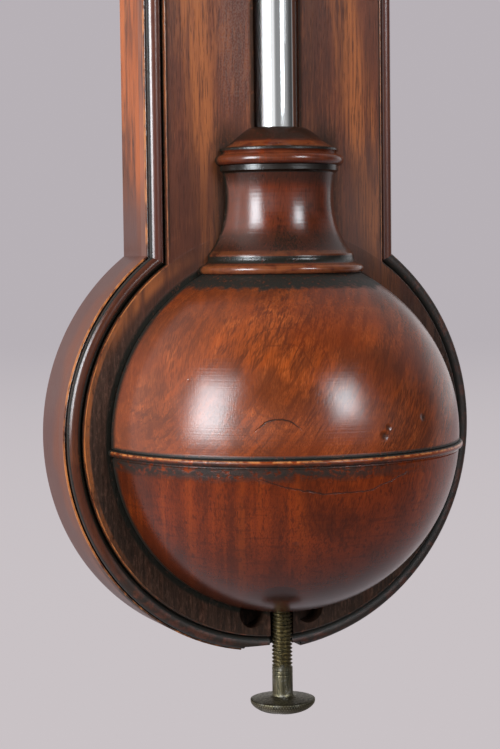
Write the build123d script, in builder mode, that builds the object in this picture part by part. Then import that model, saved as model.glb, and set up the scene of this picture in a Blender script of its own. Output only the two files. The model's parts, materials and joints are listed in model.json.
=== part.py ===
"""Wall-hung stick barometer: mahogany case, open glass tube and a turned cover over the cistern.

Frame: millimetres. The origin is the centre of the hanging hole, in the plane of the wall. X is to the
right of someone facing the barometer, Y goes into the wall and Z is up. The case stands in front of the
wall, so its front is at negative Y. Heights named *_H are above the centre of the round base.
"""
import os
from math import cos, pi, radians, sin, sqrt, tan

from build123d import *

# ---- driving dimensions --------------------------------------------------------------------------------
INCH = 25.4
SEAT_GAP = 0.3          # between a moving piece and what it passes
RUN_GAP = 0.05          # radial clearance of a turning fit

HANG_RISE = 45.0        # hanging hole above the top of the head
BOARD_T = 20.0          # thickness of the back board, wall to front panel
TRUNK_W = 70.0
BASE_R = 58.0           # round base
MOULD_W = 4.7           # moulding strip, width across the front
MOULD_DROP = 3.6        # how far the outer arris lies behind the panel
MOULD_T = 7.0           # moulding strip, thickness in its rabbet
BEAD_R = 1.75           # bead along the middle of the strip
BEAD_BEHIND = 2.3       # its centre behind the panel

COVER_R = 46.5          # hemispherical cistern cover
COVER_WALL = 6.0
COVER_TOP_H = 41.4      # flat under the collar
COVER_CEILING_H = 36.0
JOINT_H = -1.8          # joint of the two quarter-spheres
COVER_BEAD_R = 0.85
SCREW_HOLE_R = 5.0      # where the portable screw leaves the cover

COLLAR_L = 37.3
COLLAR_TOP_R = 7.4      # flat round the tube, inside the ogee
COLLAR_LIP_R = 15.9     # edge of the ogee
COLLAR_LIP_DROP = 5.5   # edge of the ogee below the collar's top
COLLAR_HEAD_R = 17.3    # upper bead
COLLAR_BEAD_L = 2.8
COLLAR_FILLET_L = 1.3   # plain fillet under the bead
COLLAR_NECK_R = 15.1    # top of the neck
COLLAR_WAIST_R = 14.5
COLLAR_FOOT_R = 22.2    # bead at the foot
COLLAR_FOOT_BEAD_L = 2.2
COLLAR_FOOT_STEP = 2.6  # from that bead in to the fillet above it
COLLAR_FOOT_RISE = 4.9  # top of that fillet above the collar's foot

TUBE_R = 6.0
TUBE_BORE_R = 4.2
TUBE_FOOT_H = -2.0
TUBE_HEADROOM = 10.0    # between the tube's closed end and the head's top rail
GROOVE_GAP = 0.2

LEVEL_H = 8.0           # mercury surface in the cistern
READING_IN = 29.9       # height of the column, inches
SCALE_LOW_IN = 27.0
SCALE_HIGH_IN = 31.0

CISTERN_R = 16.0
CISTERN_BORE_R = 12.0
CISTERN_TOP_H = 30.0
CISTERN_CAP_T = 5.0
MENISCUS_R = 1.5
BINDING_L = 3.0
SPIGOT_R = 13.5
SPIGOT_TOP_H = -1.0
SPIGOT_FOOT_H = -8.0
BAG_T = 1.1
BAG_FOOT_H = -28.0
BINDING_T = 1.0
PAD_R = 11.0
PAD_T = 3.5

BRACKET_TOP_H = -33.0
BRACKET_T = 3.0
BRACKET_HALF_W = 13.0
BUSH_R = 4.5
BUSH_FLANGE_R = 6.5
BUSH_FLANGE_T = 1.5
BUSH_STAND = 0.5        # bush above the bracket

THREAD_R = 2.7
THREAD_PITCH = 1.0
THREAD_DEPTH = 0.45
THREAD_FOOT_H = -64.0
HEAD_TOP_H = -70.7
HEAD_R = 8.3
HEAD_RIM_T = 0.7
HEAD_CROWN = 2.2
CROWN_FLAT_R = 1.0
TIP_R = 1.5
TIP_L = 1.8
FINGER_HOLE_R = 4.0     # blind holes in the base, one each side of the screw
FINGER_HOLE_X = 8.0
FINGER_HOLE_DROP = 0.4  # their centres below the foot of the cover
FINGER_HOLE_DEPTH = 6.0
NOTCH_LEFT = 10.2       # flat at the foot of the base, for the screw head
NOTCH_RIGHT = 7.0
NOTCH_DEPTH = 2.1

HEAD_W = 100.0          # glazed head
HEAD_FOOT_DROP = 38.8   # from the lowest mark of the scale down to the foot of the head
HEAD_TOP_RISE = 54.6    # from its highest mark up to the head's top
STILE_W = 9.0
HEAD_DEPTH = 22.0
RAIL_LOW_T = 13.0
RAIL_TOP_T = 12.0

PLATE_T = 1.2
PLATE_EDGE = 8.0        # inner edge of a register plate, from the centre line
PLATE_SIDE_GAP = 1.0    # between a register plate and the head's stile
PLATE_MARGIN = 8.0      # between a register plate and the rails of the head

RACK_X = 14.0
RACK_W = 5.0
RACK_T = 4.0
RACK_TAIL = 9.0         # rack left below the pinion when the vernier is at its highest
STEM_W = 3.0
STEM_L = 6.0
STEM_DROP = 8.0         # stem below the index
CHANNEL_GAP = 0.3
RACK_COVER_T = 2.0
MODULE = 0.8
PINION_TEETH = 12
PINION_DROP = 15.0      # pinion below the foot of the head
TOOTH_ADD = 0.7
TOOTH_DED = 0.9
TOOTH_HALF = 0.5        # half a tooth's thickness on the pitch line
TOOTH_SEAT = 0.2        # a tooth's root inside the body that carries it
ARBOR_R = 1.5
KNOB_R = 6.5
KNOB_T = 8.0

VERNIER_T = 1.2
VERNIER_W = 13.0
VERNIER_L = 30.0
INDEX_L = 5.0
INDEX_T = 1.0

DOOR_T = 8.0
DOOR_MEMBER = 12.0
DOOR_LIP = 2.0          # how far the rabbet goes under the glass
GLASS_T = 2.0
BEAD_T = 3.0
HINGE_R = 1.6
HINGE_PIN_R = 0.8
HINGE_LEAF_T = 0.9
HINGE_L = 18.0
HINGE_INSET = 37.0      # from the head's foot and top to the foot of a hinge

CORNICE_T = 12.0
CORNICE_OUT = 7.0
PEDIMENT_RISE = 20.0
FINIAL_R = 6.0
FINIAL_L = 24.0

HANG_PLATE_W = 26.0
HANG_PLATE_T = 2.0
HANG_PLATE_DROP = 24.0  # hanging plate below the top of the head
HANG_EYE_R = 10.0
HANG_HOLE_R = 4.0

COVER_SCREW_R = 42.2    # circle of the cover's fixing screws
COVER_SCREW_ANGLES = (35, 145, 215, 325)
COVER_SCREW_BITE = 9.0
COLLAR_SCREW_X = 10.0
COLLAR_SCREW_RISE = 20.0
COLLAR_SCREW_BITE = 5.0 # stops inside the neck of the collar
WOOD_SCREW_R = 1.6      # wood screws, shank and head
WOOD_SCREW_HEAD_R = 3.2
SMALL_SCREW_R = 0.9
SMALL_SCREW_HEAD_R = 1.9
SMALL_SCREW_L = 8.0
HANG_SCREW_L = 14.0
SLOT_W = 0.6
SLOT_DEPTH = 0.5
PLATE_SCREW_INSET = 4.0
RACK_SCREW_INSET = 6.0
RACK_SCREW_EDGE = 4.0
RACK_SCREW_SPACES = 3
HANG_SCREW_EDGE = 5.0
HANG_SCREW_RISE = 6.0
HANG_TOP_SCREW_RISE = 17.0
BRACKET_SCREW_X = 9.5
BRACKET_SCREW_BACK = 6.0 # bracket's screws, behind the tube's axis
BRACKET_SCREW_L = 9.0

STRAP_T = 1.0           # brass strap over the cistern
STRAP_FOOT_H = 8.0
STRAP_L = 8.0
STRAP_FOOT_X = 26.0
CLIP_T = 0.8            # brass clips over the glass tube
CLIP_L = 7.0
CLIP_FOOT_X = 13.0
CLIP_LOW_H = 250.0
CLIP_HIGH_DROP = 115.0  # upper clip below the foot of the head

THERMOMETER_R = 2.0
THERMOMETER_BORE_R = 0.6
BULB_R = 3.3
BULB_BORE_R = 2.5
BULB_RISE = 16.0        # bulb's centre above the foot of the plate
THERMOMETER_DROP = 15.0 # tube's end below the top of the plate
SPIRIT_L = 60.0
THERMOMETER_CLIP_L = 3.0
THERMOMETER_CLIP_INSET = 18.0

ARBOR_BUSH_R = 2.6
ARBOR_FLANGE_R = 7.5
ARBOR_FLANGE_T = 1.0
DOOR_KNOB_R = 4.6
DOOR_KNOB_STEM_R = 1.6
DOOR_KNOB_L = 11.0
DOOR_KNOB_NECK = 3.0
DOOR_KNOB_ROSE_R = 3.6
DOOR_KNOB_ROSE_T = 1.0
DOOR_KNOB_SINK = 5.0

# ---- worked out from them --------------------------------------------------------------------------------
COLUMN_H = LEVEL_H + READING_IN * INCH
SCALE_LOW_H = LEVEL_H + SCALE_LOW_IN * INCH
SCALE_HIGH_H = LEVEL_H + SCALE_HIGH_IN * INCH
HEAD_FOOT_H = SCALE_LOW_H - HEAD_FOOT_DROP
HEAD_TOP_CASE_H = SCALE_HIGH_H + HEAD_TOP_RISE
HANG_H = HEAD_TOP_CASE_H + HANG_RISE
BASE_Z = -HANG_H
FRONT = -BOARD_T                        # Y of the panel, and of the tube's axis
WALL_PLANE = Plane(origin=(0, 0, 0), x_dir=(-1, 0, 0), z_dir=(0, 1, 0))
TURN_AXIS = Axis((0, FRONT, 0), (0, 0, -1))
OPENING_HALF = HEAD_W / 2 - STILE_W
PLATE_OUT = OPENING_HALF - PLATE_SIDE_GAP
THERMOMETER_X = -(PLATE_EDGE + PLATE_OUT) / 2
DOOR_KNOB_X = DOOR_MEMBER / 2 - HEAD_W / 2
OPENING_FOOT_H = HEAD_FOOT_H + RAIL_LOW_T
OPENING_TOP_H = HEAD_TOP_CASE_H - RAIL_TOP_T
TUBE_TOP_H = OPENING_TOP_H - TUBE_HEADROOM
PLATE_FOOT_H = OPENING_FOOT_H + PLATE_MARGIN
PLATE_TOP_H = OPENING_TOP_H - PLATE_MARGIN
PINION_H = HEAD_FOOT_H - PINION_DROP
CLIP_HEIGHTS_H = (CLIP_LOW_H, HEAD_FOOT_H - CLIP_HIGH_DROP)
FINGER_HOLE_H = -COVER_R - FINGER_HOLE_DROP
COLLAR_TOP_H = COVER_TOP_H + COLLAR_L
GROOVE_R = TUBE_R + GROOVE_GAP
POCKET_R = CISTERN_R + 0.5
POCKET_TOP_H = CISTERN_TOP_H + CISTERN_CAP_T
BRACKET_FOOT_H = BRACKET_TOP_H - BRACKET_T
BRACKET_R = POCKET_R - GROOVE_GAP
PAD_FOOT_H = BAG_FOOT_H - PAD_T
SCREW_BORE_R = THREAD_R + RUN_GAP
CHANNEL_R = THREAD_R + 0.6
PLATE_FRONT = BOARD_T + PLATE_T
VERNIER_BACK = PLATE_FRONT + SEAT_GAP
RACK_BACK = RACK_COVER_T + CHANNEL_GAP
RACK_FRONT = RACK_BACK + RACK_T
CHANNEL_DEPTH = RACK_FRONT + CHANNEL_GAP
PITCH_R = MODULE * PINION_TEETH / 2
TOOTH_PITCH = pi * MODULE
PITCH_X = RACK_X + RACK_W / 2 + TOOTH_DED
PINION_X = PITCH_X + PITCH_R
DOOR_BACK = BOARD_T + HEAD_DEPTH + SEAT_GAP
DOOR_FRONT = DOOR_BACK + DOOR_T
RACK_LOW_TRAVEL = COLUMN_H - SCALE_LOW_H
RACK_HIGH_TRAVEL = SCALE_HIGH_H - COLUMN_H
STEM_H = COLUMN_H - STEM_DROP
RACK_TOP_H = STEM_H + STEM_L / 2
RACK_FOOT_H = PINION_H - RACK_HIGH_TRAVEL - RACK_TAIL
CHANNEL_FOOT_H = RACK_FOOT_H - RACK_LOW_TRAVEL - 2
CHANNEL_TOP_H = RACK_TOP_H + RACK_HIGH_TRAVEL + 2
RACK_COVER_LEFT = RACK_X - RACK_W / 2 - 2.5
RACK_COVER_RIGHT = PINION_X + PITCH_R + 3
RACK_COVER_FOOT_H = CHANNEL_FOOT_H - 4
RACK_COVER_TOP_H = CHANNEL_TOP_H + 4
GLASS_HALF = HEAD_W / 2 - DOOR_MEMBER + DOOR_LIP
DOOR_TOP_H = HEAD_TOP_CASE_H - SEAT_GAP
GLASS_FOOT_H = HEAD_FOOT_H + DOOR_MEMBER - DOOR_LIP
GLASS_TOP_H = DOOR_TOP_H - DOOR_MEMBER + DOOR_LIP
THERMOMETER_OUT = PLATE_FRONT + BULB_R + 0.1
BULB_H = PLATE_FOOT_H + BULB_RISE
SPIRIT_H = BULB_H + SPIRIT_L
THERMOMETER_TOP_H = PLATE_TOP_H - THERMOMETER_DROP
THERMOMETER_CLIP_HEIGHTS_H = (
    BULB_H + THERMOMETER_CLIP_INSET,
    THERMOMETER_TOP_H - THERMOMETER_CLIP_INSET,
)
DOOR_KNOB_H = (HEAD_FOOT_H + HEAD_TOP_CASE_H) / 2
HINGE_HEIGHTS_H = (HEAD_FOOT_H + HINGE_INSET, HEAD_TOP_CASE_H - HINGE_INSET)
HANG_PLATE_FOOT_H = HEAD_TOP_CASE_H - HANG_PLATE_DROP
HINGE_X = HEAD_W / 2 + HINGE_R + SEAT_GAP
HINGE_Y = -(DOOR_BACK - SEAT_GAP / 2)

os.makedirs("parts", exist_ok=True)


def z_of(height):
    """Height above the base's centre, as a Z of the frame."""
    return BASE_Z + height


def save(piece, label):
    """Names a finished piece and writes its STEP file."""
    piece.part.label = label
    export_step(piece.part, f"parts/{label}.step")


def front_box(x_low, x_high, h_low, h_high, mode=Mode.ADD):
    """A rectangle on the current front-facing sketch, from its edges."""
    with Locations(((x_low + x_high) / 2, z_of((h_low + h_high) / 2))):
        Rectangle(x_high - x_low, h_high - h_low, mode=mode)


def front_circle(x, height, radius, mode=Mode.ADD):
    """A circle on the current front-facing sketch."""
    with Locations((x, z_of(height))):
        Circle(radius, mode=mode)


def case_outline(inset, mode=Mode.ADD):
    """Round base and trunk, drawn inset from their outer edge, up to the head."""
    front_circle(0, 0, BASE_R - inset, mode)
    front_box(inset - TRUNK_W / 2, TRUNK_W / 2 - inset, 0, HEAD_FOOT_H, mode)


def slab(x_low, x_high, h_low, h_high, back, front, mode=Mode.ADD):
    """A block between two distances from the wall, in the current part."""
    with BuildSketch(Plane.XZ.offset(back)) as face:
        front_box(x_low, x_high, h_low, h_high)
    extrude(face.sketch, amount=front - back, mode=mode)


def disc(x, height, radius, back, front, mode=Mode.ADD):
    """A round between two distances from the wall, in the current part."""
    with BuildSketch(Plane.XZ.offset(back)) as face:
        front_circle(x, height, radius)
    extrude(face.sketch, amount=front - back, mode=mode)


def upright(radius, h_low, h_high, mode=Mode.ADD):
    """A cylinder on the tube's axis, in the current part."""
    with BuildSketch(Plane.XY.offset(z_of(h_low))) as face:
        with Locations((0, FRONT)):
            Circle(radius)
    extrude(face.sketch, amount=h_high - h_low, mode=mode)


def screws(plane, places, shank_r, head_r, length, mode=Mode.ADD):
    """Countersunk wood screws, or their holes, driven against the plane's normal, heads flush with it."""
    with BuildSketch(plane) as shanks:
        with Locations(*places):
            Circle(shank_r)
    extrude(shanks.sketch, amount=-length, mode=mode)
    with BuildSketch(plane) as heads:
        with Locations(*places):
            Circle(head_r)
    extrude(heads.sketch, amount=shank_r - head_r, taper=45, mode=mode)


def slots(plane, places, head_r, depth):
    """Screwdriver slots across screw heads."""
    with BuildSketch(plane) as cuts:
        with Locations(*places):
            Rectangle(2 * head_r, SLOT_W)
    extrude(cuts.sketch, amount=-depth, mode=Mode.SUBTRACT)


def front_places(*places):
    """(x, height) points of the case, as sketch points on a front-facing plane."""
    return [(x, z_of(h)) for x, h in places]


def back_places(*places):
    """(x, height) points of the case, as sketch points on a plane that faces the wall."""
    return [(-x, z_of(h)) for x, h in places]


# ---- screws that hold two pieces, as (x, height) of the case ---------------------------------------------
COVER_PLACES = [
    (COVER_SCREW_R * cos(radians(a)), COVER_SCREW_R * sin(radians(a))) for a in COVER_SCREW_ANGLES
]
COLLAR_PLACES = [(side * COLLAR_SCREW_X, COVER_TOP_H + COLLAR_SCREW_RISE) for side in (-1, 1)]
STRAP_PLACES = [
    (side * (CISTERN_R + STRAP_FOOT_X) / 2, STRAP_FOOT_H + STRAP_L / 2) for side in (-1, 1)
]
CLIP_PLACES = [
    (side * (TUBE_R + CLIP_T + CLIP_FOOT_X) / 2, h + CLIP_L / 2)
    for h in CLIP_HEIGHTS_H for side in (-1, 1)
]
PLATE_PLACES = [
    (side * x, h)
    for side in (-1, 1)
    for x in (PLATE_EDGE + PLATE_SCREW_INSET, PLATE_OUT - PLATE_SCREW_INSET)
    for h in (PLATE_FOOT_H + PLATE_SCREW_INSET, PLATE_TOP_H - PLATE_SCREW_INSET)
]
RACK_SCREW_SPAN = RACK_COVER_TOP_H - RACK_COVER_FOOT_H - 2 * RACK_SCREW_INSET
RACK_COVER_PLACES = [
    (RACK_COVER_RIGHT - RACK_SCREW_EDGE,
     RACK_COVER_FOOT_H + RACK_SCREW_INSET + number * RACK_SCREW_SPAN / RACK_SCREW_SPACES)
    for number in range(RACK_SCREW_SPACES + 1)
]
HANG_PLACES = [
    (-HANG_PLATE_W / 2 + HANG_SCREW_EDGE, HANG_PLATE_FOOT_H + HANG_SCREW_RISE),
    (HANG_PLATE_W / 2 - HANG_SCREW_EDGE, HANG_PLATE_FOOT_H + HANG_SCREW_RISE),
    (0, HANG_PLATE_FOOT_H + HANG_TOP_SCREW_RISE),
]
BRACKET_SCREW_POINTS = [
    (side * BRACKET_SCREW_X, FRONT + BRACKET_SCREW_BACK) for side in (-1, 1)
]


# ---- case ------------------------------------------------------------------------------------------------
def small_screws(distance, places, mode=Mode.ADD):
    """Small countersunk screws driven from the front, heads flush with a distance from the wall."""
    screws(Plane.XZ.offset(distance), front_places(*places), SMALL_SCREW_R, SMALL_SCREW_HEAD_R,
           SMALL_SCREW_L, mode)


def back_screws(places, bite, mode=Mode.ADD):
    """Wood screws driven from the back, through the board and a bite into what it carries."""
    screws(WALL_PLANE, back_places(*places), WOOD_SCREW_R, WOOD_SCREW_HEAD_R, BOARD_T + bite, mode)


def bracket_screw_shapes(mode=Mode.ADD):
    """The two upright screws of the bush bracket."""
    screws(Plane.XY.offset(z_of(BRACKET_TOP_H)), BRACKET_SCREW_POINTS, SMALL_SCREW_R,
           SMALL_SCREW_HEAD_R, BRACKET_SCREW_L, mode)


def foot_notch():
    """Flat at the foot of the base, where the head of the portable screw comes up to it."""
    slab(-NOTCH_LEFT, NOTCH_RIGHT, -BASE_R - 1, NOTCH_DEPTH - BASE_R, -1, BOARD_T + 1, Mode.SUBTRACT)


def stem_slot(back, front):
    """Slot that the rack's stem travels in."""
    slab(RACK_X - STEM_W / 2 - SEAT_GAP, RACK_X + STEM_W / 2 + SEAT_GAP,
         STEM_H - STEM_L / 2 - RACK_LOW_TRAVEL - 1, STEM_H + STEM_L / 2 + RACK_HIGH_TRAVEL + 1,
         back, front, Mode.SUBTRACT)


with BuildPart() as back_board:
    with BuildSketch(Plane.XZ):
        case_outline(0)
        front_box(-HEAD_W / 2, HEAD_W / 2, HEAD_FOOT_H, HEAD_TOP_CASE_H)
    extrude(amount=BOARD_T)
    with BuildSketch(Plane.XZ.offset(BOARD_T - MOULD_T)):
        case_outline(0)
        case_outline(MOULD_W, Mode.SUBTRACT)
    extrude(amount=MOULD_T, mode=Mode.SUBTRACT)
    # groove of the glass tube, pocket of the cistern, channel of the portable screw
    upright(GROOVE_R, POCKET_TOP_H, OPENING_TOP_H, Mode.SUBTRACT)
    upright(POCKET_R, BRACKET_FOOT_H, POCKET_TOP_H, Mode.SUBTRACT)
    upright(BUSH_FLANGE_R + SEAT_GAP, BRACKET_FOOT_H - BUSH_FLANGE_T - SEAT_GAP, BRACKET_FOOT_H,
            Mode.SUBTRACT)
    upright(CHANNEL_R, -BASE_R - 1, BRACKET_FOOT_H, Mode.SUBTRACT)
    for x_hole in (-FINGER_HOLE_X, FINGER_HOLE_X):
        disc(x_hole, FINGER_HOLE_H, FINGER_HOLE_R, BOARD_T - FINGER_HOLE_DEPTH, BOARD_T,
             Mode.SUBTRACT)
    foot_notch()
    # rack channel and pinion pocket, cut from the back, with the recess of their cover
    slab(RACK_X - RACK_W / 2 - CHANNEL_GAP, PITCH_X + TOOTH_ADD + CHANNEL_GAP,
         CHANNEL_FOOT_H, CHANNEL_TOP_H, 0, CHANNEL_DEPTH, Mode.SUBTRACT)
    disc(PINION_X, PINION_H, PITCH_R + TOOTH_ADD + SEAT_GAP, 0, CHANNEL_DEPTH, Mode.SUBTRACT)
    slab(RACK_COVER_LEFT, RACK_COVER_RIGHT, RACK_COVER_FOOT_H, RACK_COVER_TOP_H, 0, RACK_COVER_T,
         Mode.SUBTRACT)
    stem_slot(0, BOARD_T)
    disc(PINION_X, PINION_H, ARBOR_BUSH_R, 0, BOARD_T, Mode.SUBTRACT)
    slab(-HANG_PLATE_W / 2, HANG_PLATE_W / 2, HANG_PLATE_FOOT_H, HEAD_TOP_CASE_H, 0, HANG_PLATE_T,
         Mode.SUBTRACT)
    back_screws(COVER_PLACES, COVER_SCREW_BITE, Mode.SUBTRACT)
    back_screws(COLLAR_PLACES, COLLAR_SCREW_BITE, Mode.SUBTRACT)
    small_screws(BOARD_T + STRAP_T, STRAP_PLACES, Mode.SUBTRACT)
    small_screws(BOARD_T + CLIP_T, CLIP_PLACES, Mode.SUBTRACT)
    small_screws(PLATE_FRONT, PLATE_PLACES, Mode.SUBTRACT)
    bracket_screw_shapes(Mode.SUBTRACT)
    screws(WALL_PLANE, back_places(*RACK_COVER_PLACES), SMALL_SCREW_R, SMALL_SCREW_HEAD_R,
           SMALL_SCREW_L, Mode.SUBTRACT)
    screws(WALL_PLANE, back_places(*HANG_PLACES), WOOD_SCREW_R, WOOD_SCREW_HEAD_R, HANG_SCREW_L,
           Mode.SUBTRACT)
save(back_board, "back_board")


# ---- moulding strips -------------------------------------------------------------------------------------
MITRE_OUT_H = sqrt(BASE_R**2 - (TRUNK_W / 2) ** 2)
MITRE_IN_H = sqrt((BASE_R - MOULD_W) ** 2 - (TRUNK_W / 2 - MOULD_W) ** 2)
MITRE_SLOPE = (MITRE_OUT_H - MITRE_IN_H) / MOULD_W


def mitre_h(x):
    """Height of the mitre line between the trunk and base strips, at a distance from the centre."""
    return MITRE_IN_H + MITRE_SLOPE * (x - TRUNK_W / 2 + MOULD_W)


def moulding_section(edge):
    """Section of a moulding strip on a level sketch: arris, groove, bead, groove and arris."""
    section = [
        (0, MOULD_T), (0, MOULD_DROP), (0.4, MOULD_DROP - 0.2), (0.8, MOULD_DROP + 0.6),
        (MOULD_W - 0.65, MOULD_DROP - 1), (MOULD_W - 0.3, 0.2), (MOULD_W - 0.22, 0), (MOULD_W, 0),
        (MOULD_W, MOULD_T),
    ]
    with BuildLine() as outline:
        Polyline(*[(edge - inward, FRONT + behind) for inward, behind in section], close=True)
    make_face(outline.edges())
    with Locations((edge - MOULD_W / 2, FRONT + BEAD_BEHIND)):
        Circle(BEAD_R)


for side, label in ((-1, "trunk_moulding_left"), (1, "trunk_moulding_right")):
    with BuildPart() as trunk_moulding:
        with BuildSketch(Plane.XY.offset(z_of(MITRE_IN_H))):
            moulding_section(TRUNK_W / 2)
        extrude(amount=HEAD_FOOT_H - MITRE_IN_H)
        with BuildSketch(Plane.XZ) as mitre:
            with BuildLine():
                Polyline(
                    (TRUNK_W / 2 - MOULD_W - 1, z_of(mitre_h(TRUNK_W / 2 - MOULD_W - 1))),
                    (TRUNK_W / 2 + 1, z_of(mitre_h(TRUNK_W / 2 + 1))),
                    (TRUNK_W / 2 + 1, z_of(0)),
                    (TRUNK_W / 2 - MOULD_W - 1, z_of(0)),
                    close=True,
                )
            make_face()
        extrude(amount=BOARD_T + 1, mode=Mode.SUBTRACT)
        if side < 0:
            mirror(about=Plane.YZ, mode=Mode.REPLACE)
    save(trunk_moulding, label)

for side, label in ((-1, "base_moulding_left"), (1, "base_moulding_right")):
    reach = side * (BASE_R + 2)
    with BuildPart() as base_moulding:
        with BuildSketch(Plane.XY.offset(BASE_Z)):
            moulding_section(BASE_R)
        revolve(axis=Axis((0, 0, BASE_Z), (0, 1, 0)))
        with BuildSketch(Plane.XZ):
            with BuildLine():
                Polyline(
                    (-NOTCH_LEFT, z_of(-BASE_R - 2)),
                    (reach, z_of(-BASE_R - 2)),
                    (reach, z_of(mitre_h(BASE_R + 2))),
                    (0, z_of(mitre_h(0))),
                    (0, z_of(-BASE_R / 2)),
                    (-NOTCH_LEFT, z_of(-BASE_R / 2)),
                    close=True,
                )
            make_face()
        extrude(amount=BOARD_T + 1, mode=Mode.INTERSECT)
        upright(CHANNEL_R, -BASE_R - 1, 0, Mode.SUBTRACT)
        foot_notch()
    save(base_moulding, label)


# ---- turned cover of the cistern -------------------------------------------------------------------------
def shell_section(h_low, h_high):
    """Section of the hemispherical shell between two heights, on its flat back plane."""
    front_circle(0, 0, COVER_R)
    front_circle(0, 0, COVER_R - COVER_WALL, Mode.SUBTRACT)
    front_box(0, COVER_R, COVER_CEILING_H, COVER_R)
    front_circle(0, 0, COVER_R, Mode.INTERSECT)
    front_box(0, COVER_R, h_low, h_high, Mode.INTERSECT)


with BuildPart() as cistern_cover_upper:
    with BuildSketch(Plane.XZ.offset(BOARD_T)):
        shell_section(JOINT_H, COVER_TOP_H)
        front_box(0, GROOVE_R, COVER_CEILING_H - 1, COVER_TOP_H + 1, Mode.SUBTRACT)
    revolve(axis=TURN_AXIS, revolution_arc=180)
    back_screws(COVER_PLACES, COVER_SCREW_BITE, Mode.SUBTRACT)
save(cistern_cover_upper, "cistern_cover_upper")

COVER_BEAD_H = JOINT_H - COVER_BEAD_R - 0.2
with BuildPart() as cistern_cover_lower:
    with BuildSketch(Plane.XZ.offset(BOARD_T)):
        shell_section(-COVER_R, JOINT_H)
        front_circle(COVER_R, COVER_BEAD_H + 1.1, 0.5, Mode.SUBTRACT)
        front_circle(COVER_R, COVER_BEAD_H - 1.1, 0.5, Mode.SUBTRACT)
        front_circle(COVER_R, COVER_BEAD_H, COVER_BEAD_R)
        front_box(0, SCREW_HOLE_R, -COVER_R - 1, 0, Mode.SUBTRACT)
    revolve(axis=TURN_AXIS, revolution_arc=180)
    back_screws(COVER_PLACES, COVER_SCREW_BITE, Mode.SUBTRACT)
save(cistern_cover_lower, "cistern_cover_lower")


def at(radius, height):
    """A point of a turned profile, on its flat back plane."""
    return (radius, z_of(height))


COLLAR_STEP = 0.5       # small steps between its mouldings
OGEE_OUT = COLLAR_LIP_R - COLLAR_TOP_R
LIP_H = COLLAR_TOP_H - COLLAR_LIP_DROP
BEAD_TOP_H = LIP_H - 3 * COLLAR_STEP
FILLET_FOOT_H = BEAD_TOP_H - COLLAR_BEAD_L - COLLAR_FILLET_L
NECK_L = FILLET_FOOT_H - COVER_TOP_H - COLLAR_FOOT_RISE
FOOT_FILLET_R = COLLAR_FOOT_R - COLLAR_FOOT_STEP
NECK_OUT = FOOT_FILLET_R - COLLAR_WAIST_R
SHOULDER_R = COLLAR_FOOT_R - COLLAR_STEP - 0.4
with BuildPart() as cover_collar:
    with BuildSketch(Plane.XZ.offset(BOARD_T)):
        with BuildLine():
            bore = Polyline(at(SHOULDER_R - COLLAR_STEP, COVER_TOP_H), at(GROOVE_R, COVER_TOP_H),
                            at(GROOVE_R, COLLAR_TOP_H), at(COLLAR_TOP_R, COLLAR_TOP_H))
            ogee = Spline(
                bore @ 1,
                at(COLLAR_TOP_R + 0.29 * OGEE_OUT, COLLAR_TOP_H - 0.29 * COLLAR_LIP_DROP),
                at(COLLAR_TOP_R + 0.61 * OGEE_OUT, COLLAR_TOP_H - 0.69 * COLLAR_LIP_DROP),
                at(COLLAR_LIP_R, LIP_H),
            )
            cove = Polyline(ogee @ 1, at(COLLAR_LIP_R, LIP_H - COLLAR_STEP),
                            at(COLLAR_LIP_R - COLLAR_STEP, LIP_H - 2 * COLLAR_STEP),
                            at(COLLAR_LIP_R, BEAD_TOP_H))
            torus = ThreePointArc(cove @ 1, at(COLLAR_HEAD_R, BEAD_TOP_H - COLLAR_BEAD_L / 2),
                                  at(COLLAR_LIP_R, BEAD_TOP_H - COLLAR_BEAD_L))
            fillet_line = Polyline(torus @ 1, at(COLLAR_LIP_R, FILLET_FOOT_H),
                                   at(COLLAR_NECK_R, FILLET_FOOT_H - COLLAR_STEP))
            neck = Spline(
                fillet_line @ 1,
                at(COLLAR_WAIST_R, FILLET_FOOT_H - 0.37 * NECK_L),
                at(COLLAR_WAIST_R + 0.21 * NECK_OUT, FILLET_FOOT_H - 0.67 * NECK_L),
                at(COLLAR_WAIST_R + NECK_OUT, COVER_TOP_H + COLLAR_FOOT_RISE),
            )
            step = Line(neck @ 1, at(FOOT_FILLET_R, COVER_TOP_H + COLLAR_FOOT_RISE - 2 * COLLAR_STEP))
            hollow = ThreePointArc(
                step @ 1,
                at(FOOT_FILLET_R + 0.25 * COLLAR_FOOT_STEP, COVER_TOP_H + COLLAR_FOOT_BEAD_L + COLLAR_STEP),
                at(SHOULDER_R, COVER_TOP_H + COLLAR_FOOT_BEAD_L),
            )
            foot = ThreePointArc(hollow @ 1, at(COLLAR_FOOT_R, COVER_TOP_H + COLLAR_FOOT_BEAD_L / 2),
                                 at(SHOULDER_R, COVER_TOP_H))
            Line(foot @ 1, bore @ 0)
        make_face()
    revolve(axis=TURN_AXIS, revolution_arc=180)
    back_screws(COLLAR_PLACES, COLLAR_SCREW_BITE, Mode.SUBTRACT)
save(cover_collar, "cover_collar")

with BuildPart() as cover_fixing_screws:
    back_screws(COVER_PLACES, COVER_SCREW_BITE)
    back_screws(COLLAR_PLACES, COLLAR_SCREW_BITE)
    slots(WALL_PLANE, back_places(*COVER_PLACES, *COLLAR_PLACES), WOOD_SCREW_HEAD_R, SLOT_DEPTH)
save(cover_fixing_screws, "cover_fixing_screws")


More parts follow.
